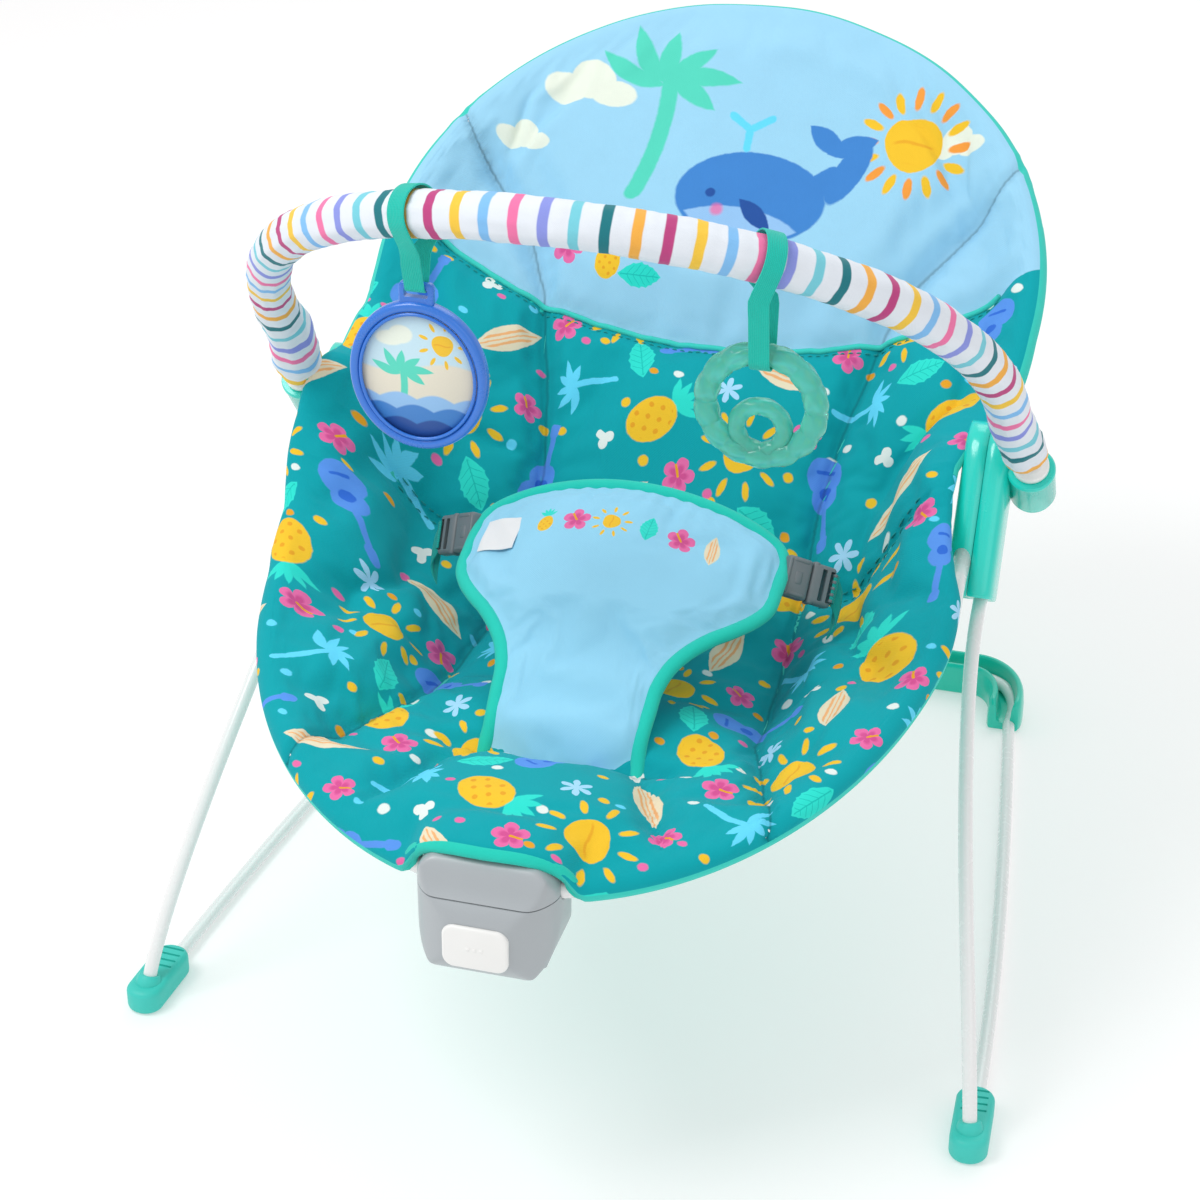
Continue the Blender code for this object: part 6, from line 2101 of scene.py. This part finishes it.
# ---------------------------------------------------------------- vibration unit
def unit_form(shrink):
    """The casing's outer form, or with a shrink its cavity: a side, a front and a top outline together."""
    profile = [(-0.0975, 0.2058), (-0.1040, 0.1930), (-0.1108, 0.1845), (-0.1132, 0.1750), (-0.1134, 0.1640),
               (-0.1090, 0.1510), (-0.1000, 0.1436), (-0.0780, 0.1440), (-0.0575, 0.1458), (-0.0508, 0.1540),
               (-0.0500, 0.1720), (-0.0500, 0.1880), (-0.0550, 0.1985), (-0.0700, 0.2052), (-0.0850, 0.2060)]
    middle = (-0.0815, 0.1750)
    grow = 1 - shrink / 0.032
    drawn = [(middle[0] + (y - middle[0]) * grow, middle[1] + (z - middle[1]) * grow) for y, z in profile]
    side_turn = Matrix((Vector((0, 1, 0)), Vector((0, 0, 1)), Vector((1, 0, 0)))).transposed().to_4x4()
    side_view = rounded_prism(closed_curve(drawn), 0.12, Matrix.Translation((0, FEET_Y, 0)) @ side_turn, GREY)
    half = 0.0370 - shrink
    front = [(0.0, 0.2100 - shrink), (0.020, 0.2085 - shrink), (0.0290, 0.2050 - shrink),
             (half - 0.0022, 0.1975), (half, 0.1850), (half - 0.0004, 0.1700), (half - 0.0030, 0.1570),
             (half - 0.0090, 0.1475 + shrink), (half - 0.0190, 0.1405 + shrink), (0.0, 0.1380 + shrink)]
    front += [(-x, z) for x, z in reversed(front[1:-1])]
    front_turn = Matrix((Vector((1, 0, 0)), Vector((0, 0, 1)), Vector((0, -1, 0)))).transposed().to_4x4()
    front_place = Matrix.Translation(at(0, -0.08, 0)) @ front_turn
    front_view = rounded_prism(closed_curve(front), 0.13, front_place, GREY)
    boolean(side_view, front_view, "INTERSECT")
    top = [(0.0, -0.1150), (0.0120, -0.1138), (0.0230, -0.1090), (0.0320, -0.1010), (0.0368, -0.0900),
           (0.0362, -0.0760), (0.0340, -0.0620), (0.0300, -0.0520), (0.0200, -0.0470), (0.0, -0.0460)]
    grow = (0.0375 - shrink) / 0.0375
    top = [(x * grow, -0.0810 + (y + 0.0810) * grow) for x, y in top]
    top += [(-x, y) for x, y in reversed(top[1:-1])]
    top_view = rounded_prism(closed_curve(top), 0.14, Matrix.Translation(at(0, 0, 0.17)), GREY)
    return boolean(side_view, top_view, "INTERSECT")


def vibration_unit(seat_path):
    outer = unit_form(0.0)
    remesh = outer.modifiers.new("remesh", "REMESH")
    remesh.mode = "VOXEL"
    remesh.voxel_size = 0.0009
    soften = outer.modifiers.new("soften", "SMOOTH")
    soften.factor = 0.5
    soften.iterations = 26
    apply_all(outer)
    cavity = unit_form(0.0026)
    boolean(outer, cavity)
    run = [p for p in seat_path if abs(p.x) < 0.075]
    boolean(outer, swept("channel", run, ring_section(TUBE_R + 0.0005, 20), GREY, first_side=(0, 1, 1)))
    face_turn = Matrix((Vector((1, 0, 0)), Vector((0, 0, 1)), Vector((0, -1, 0)))).transposed().to_4x4()
    button_at = at(0, -0.1112, 0.1665)
    boolean(outer, rounded_prism(rounded_rectangle(0.0160, 0.0125, 0.0064, 8), 0.012,
                                 Matrix.Translation(button_at) @ face_turn, GREY))
    door_bay = Matrix.Translation(at(0, -0.0710, 0.1437))
    boolean(outer, block((0.0540, 0.0270, 0.0140), door_bay, GREY, 0.001, 1))
    upper = outer.copy()
    upper.data = outer.data.copy()
    bpy.context.scene.collection.objects.link(upper)
    seam = 0.1887
    for shell, name, low, high, node in ((outer, "casing_lower", 0.10, seam - 0.0003, "unit_lower_casing"),
                                         (upper, "casing_upper", seam + 0.0003, 0.25, "unit_upper_casing")):
        middle = Matrix.Translation(at(0, -0.08, (low + high) / 2))
        slab = block((0.2, 0.2, high - low), middle, GREY, 0.00001, 1)
        boolean(shell, slab, "INTERSECT")
        shell.name = name
        shell.data.shade_smooth()
        shell.data.set_sharp_from_angle(angle=math.radians(40))
        finished(shell, "seat", "grey_plastic", node)

    button = rounded_prism(rounded_rectangle(0.0170, 0.0122, 0.0062, 10), 0.0070,
                           Matrix.Translation(button_at) @ face_turn, WHITE, 0.0014, 5)
    for e in (-1, 0, 1):
        ridge_at = button_at + Vector((e * 0.0034, -0.0034, 0))
        dot_profile = [(0.0, -0.0012), (0.0011, -0.0012), (0.0011, 0.0002), (0.0007, 0.0005), (0.0, 0.0006)]
        dot = turned("dot", dot_profile,
                     Matrix.Translation(ridge_at) @ axis_turn((0, -1, 0), (1, 0, 0)), WHITE, 20)
        button = joined("power_button_cap", [button, dot])
    finished(button, "button", "white_plastic", "power_button")

    tilt = Matrix.Rotation(math.atan2(0.0025, 0.044), 4, "X")
    place = Matrix.Translation(at(0, -0.0725, 0.1434)) @ tilt
    door = rounded_prism(rounded_rectangle(0.0285, 0.0165, 0.0030, 6), 0.0016, place, GREY, 0.0004, 2)
    parts = [door]
    for n in range(5):
        rib_at = place @ Matrix.Translation((0, 0.0040 + 0.0022 * n, -0.0009))
        parts.append(block((0.0180, 0.0010, 0.0006), rib_at, GREY, 0.0002, 2))
    lid = joined("battery_door_lid", parts)
    screw_place = place @ Matrix.Translation((0, -0.0145, -0.0024)) @ Matrix.Rotation(math.pi, 4, "X")
    boolean(lid, turned("hole", [(0.0, -0.004), (0.0019, -0.004), (0.0019, 0.006), (0.0, 0.006)],
                        place @ Matrix.Translation((0, -0.0145, 0)), GREY, 24))
    finished(lid, "door", "grey_plastic", "battery_door")
    head = cross_screw("door_screw_head", screw_place, 0.0030, STEEL)
    shank = turned("shank", [(0.0, 0.0), (0.0015, 0.0), (0.0015, 0.0056), (0.0010, 0.0064), (0.0, 0.0066)],
                   place @ Matrix.Translation((0, -0.0145, -0.0024)), STEEL, 20)
    screw = joined("door_screw_finished", [head, shank])
    finished(screw, "door_screw", "screw_steel", "door_screw")


# ---------------------------------------------------------------- putting it together
NODE_FINISHES = {"battery": DARK, "battery_contact_positive": STEEL, "battery_contact_negative": STEEL,
                 "case_screw_right": STEEL, "case_screw_left": STEEL, "circuit_board": BOARD,
                 "vibration_motor": STEEL, "motor_weight": STEEL, "rear_grip_right": RUBBER,
                 "rear_grip_left": RUBBER, "hub_screw_upper_right": STEEL, "hub_screw_upper_left": STEEL,
                 "hub_screw_lower_right": STEEL, "hub_screw_lower_left": STEEL}

make_stage()
SEAT_PATH = wires()
COVER = seat_cover()
cover_trim(COVER)
arch_binding()
harness()
for side_name, side_sign in SIDES:
    buckles(side_name, side_sign)
    waist_strap(side_name, side_sign)
hubs()
front_feet()
rear_support()
toy_bar()
mirror_toy()
teether_toy()
vibration_unit(SEAT_PATH)
for node_name, node_finish in NODE_FINISHES.items():
    nodes[node_name].data.materials.clear()
    nodes[node_name].data.materials.append(node_finish)

bpy.context.view_layer.update()
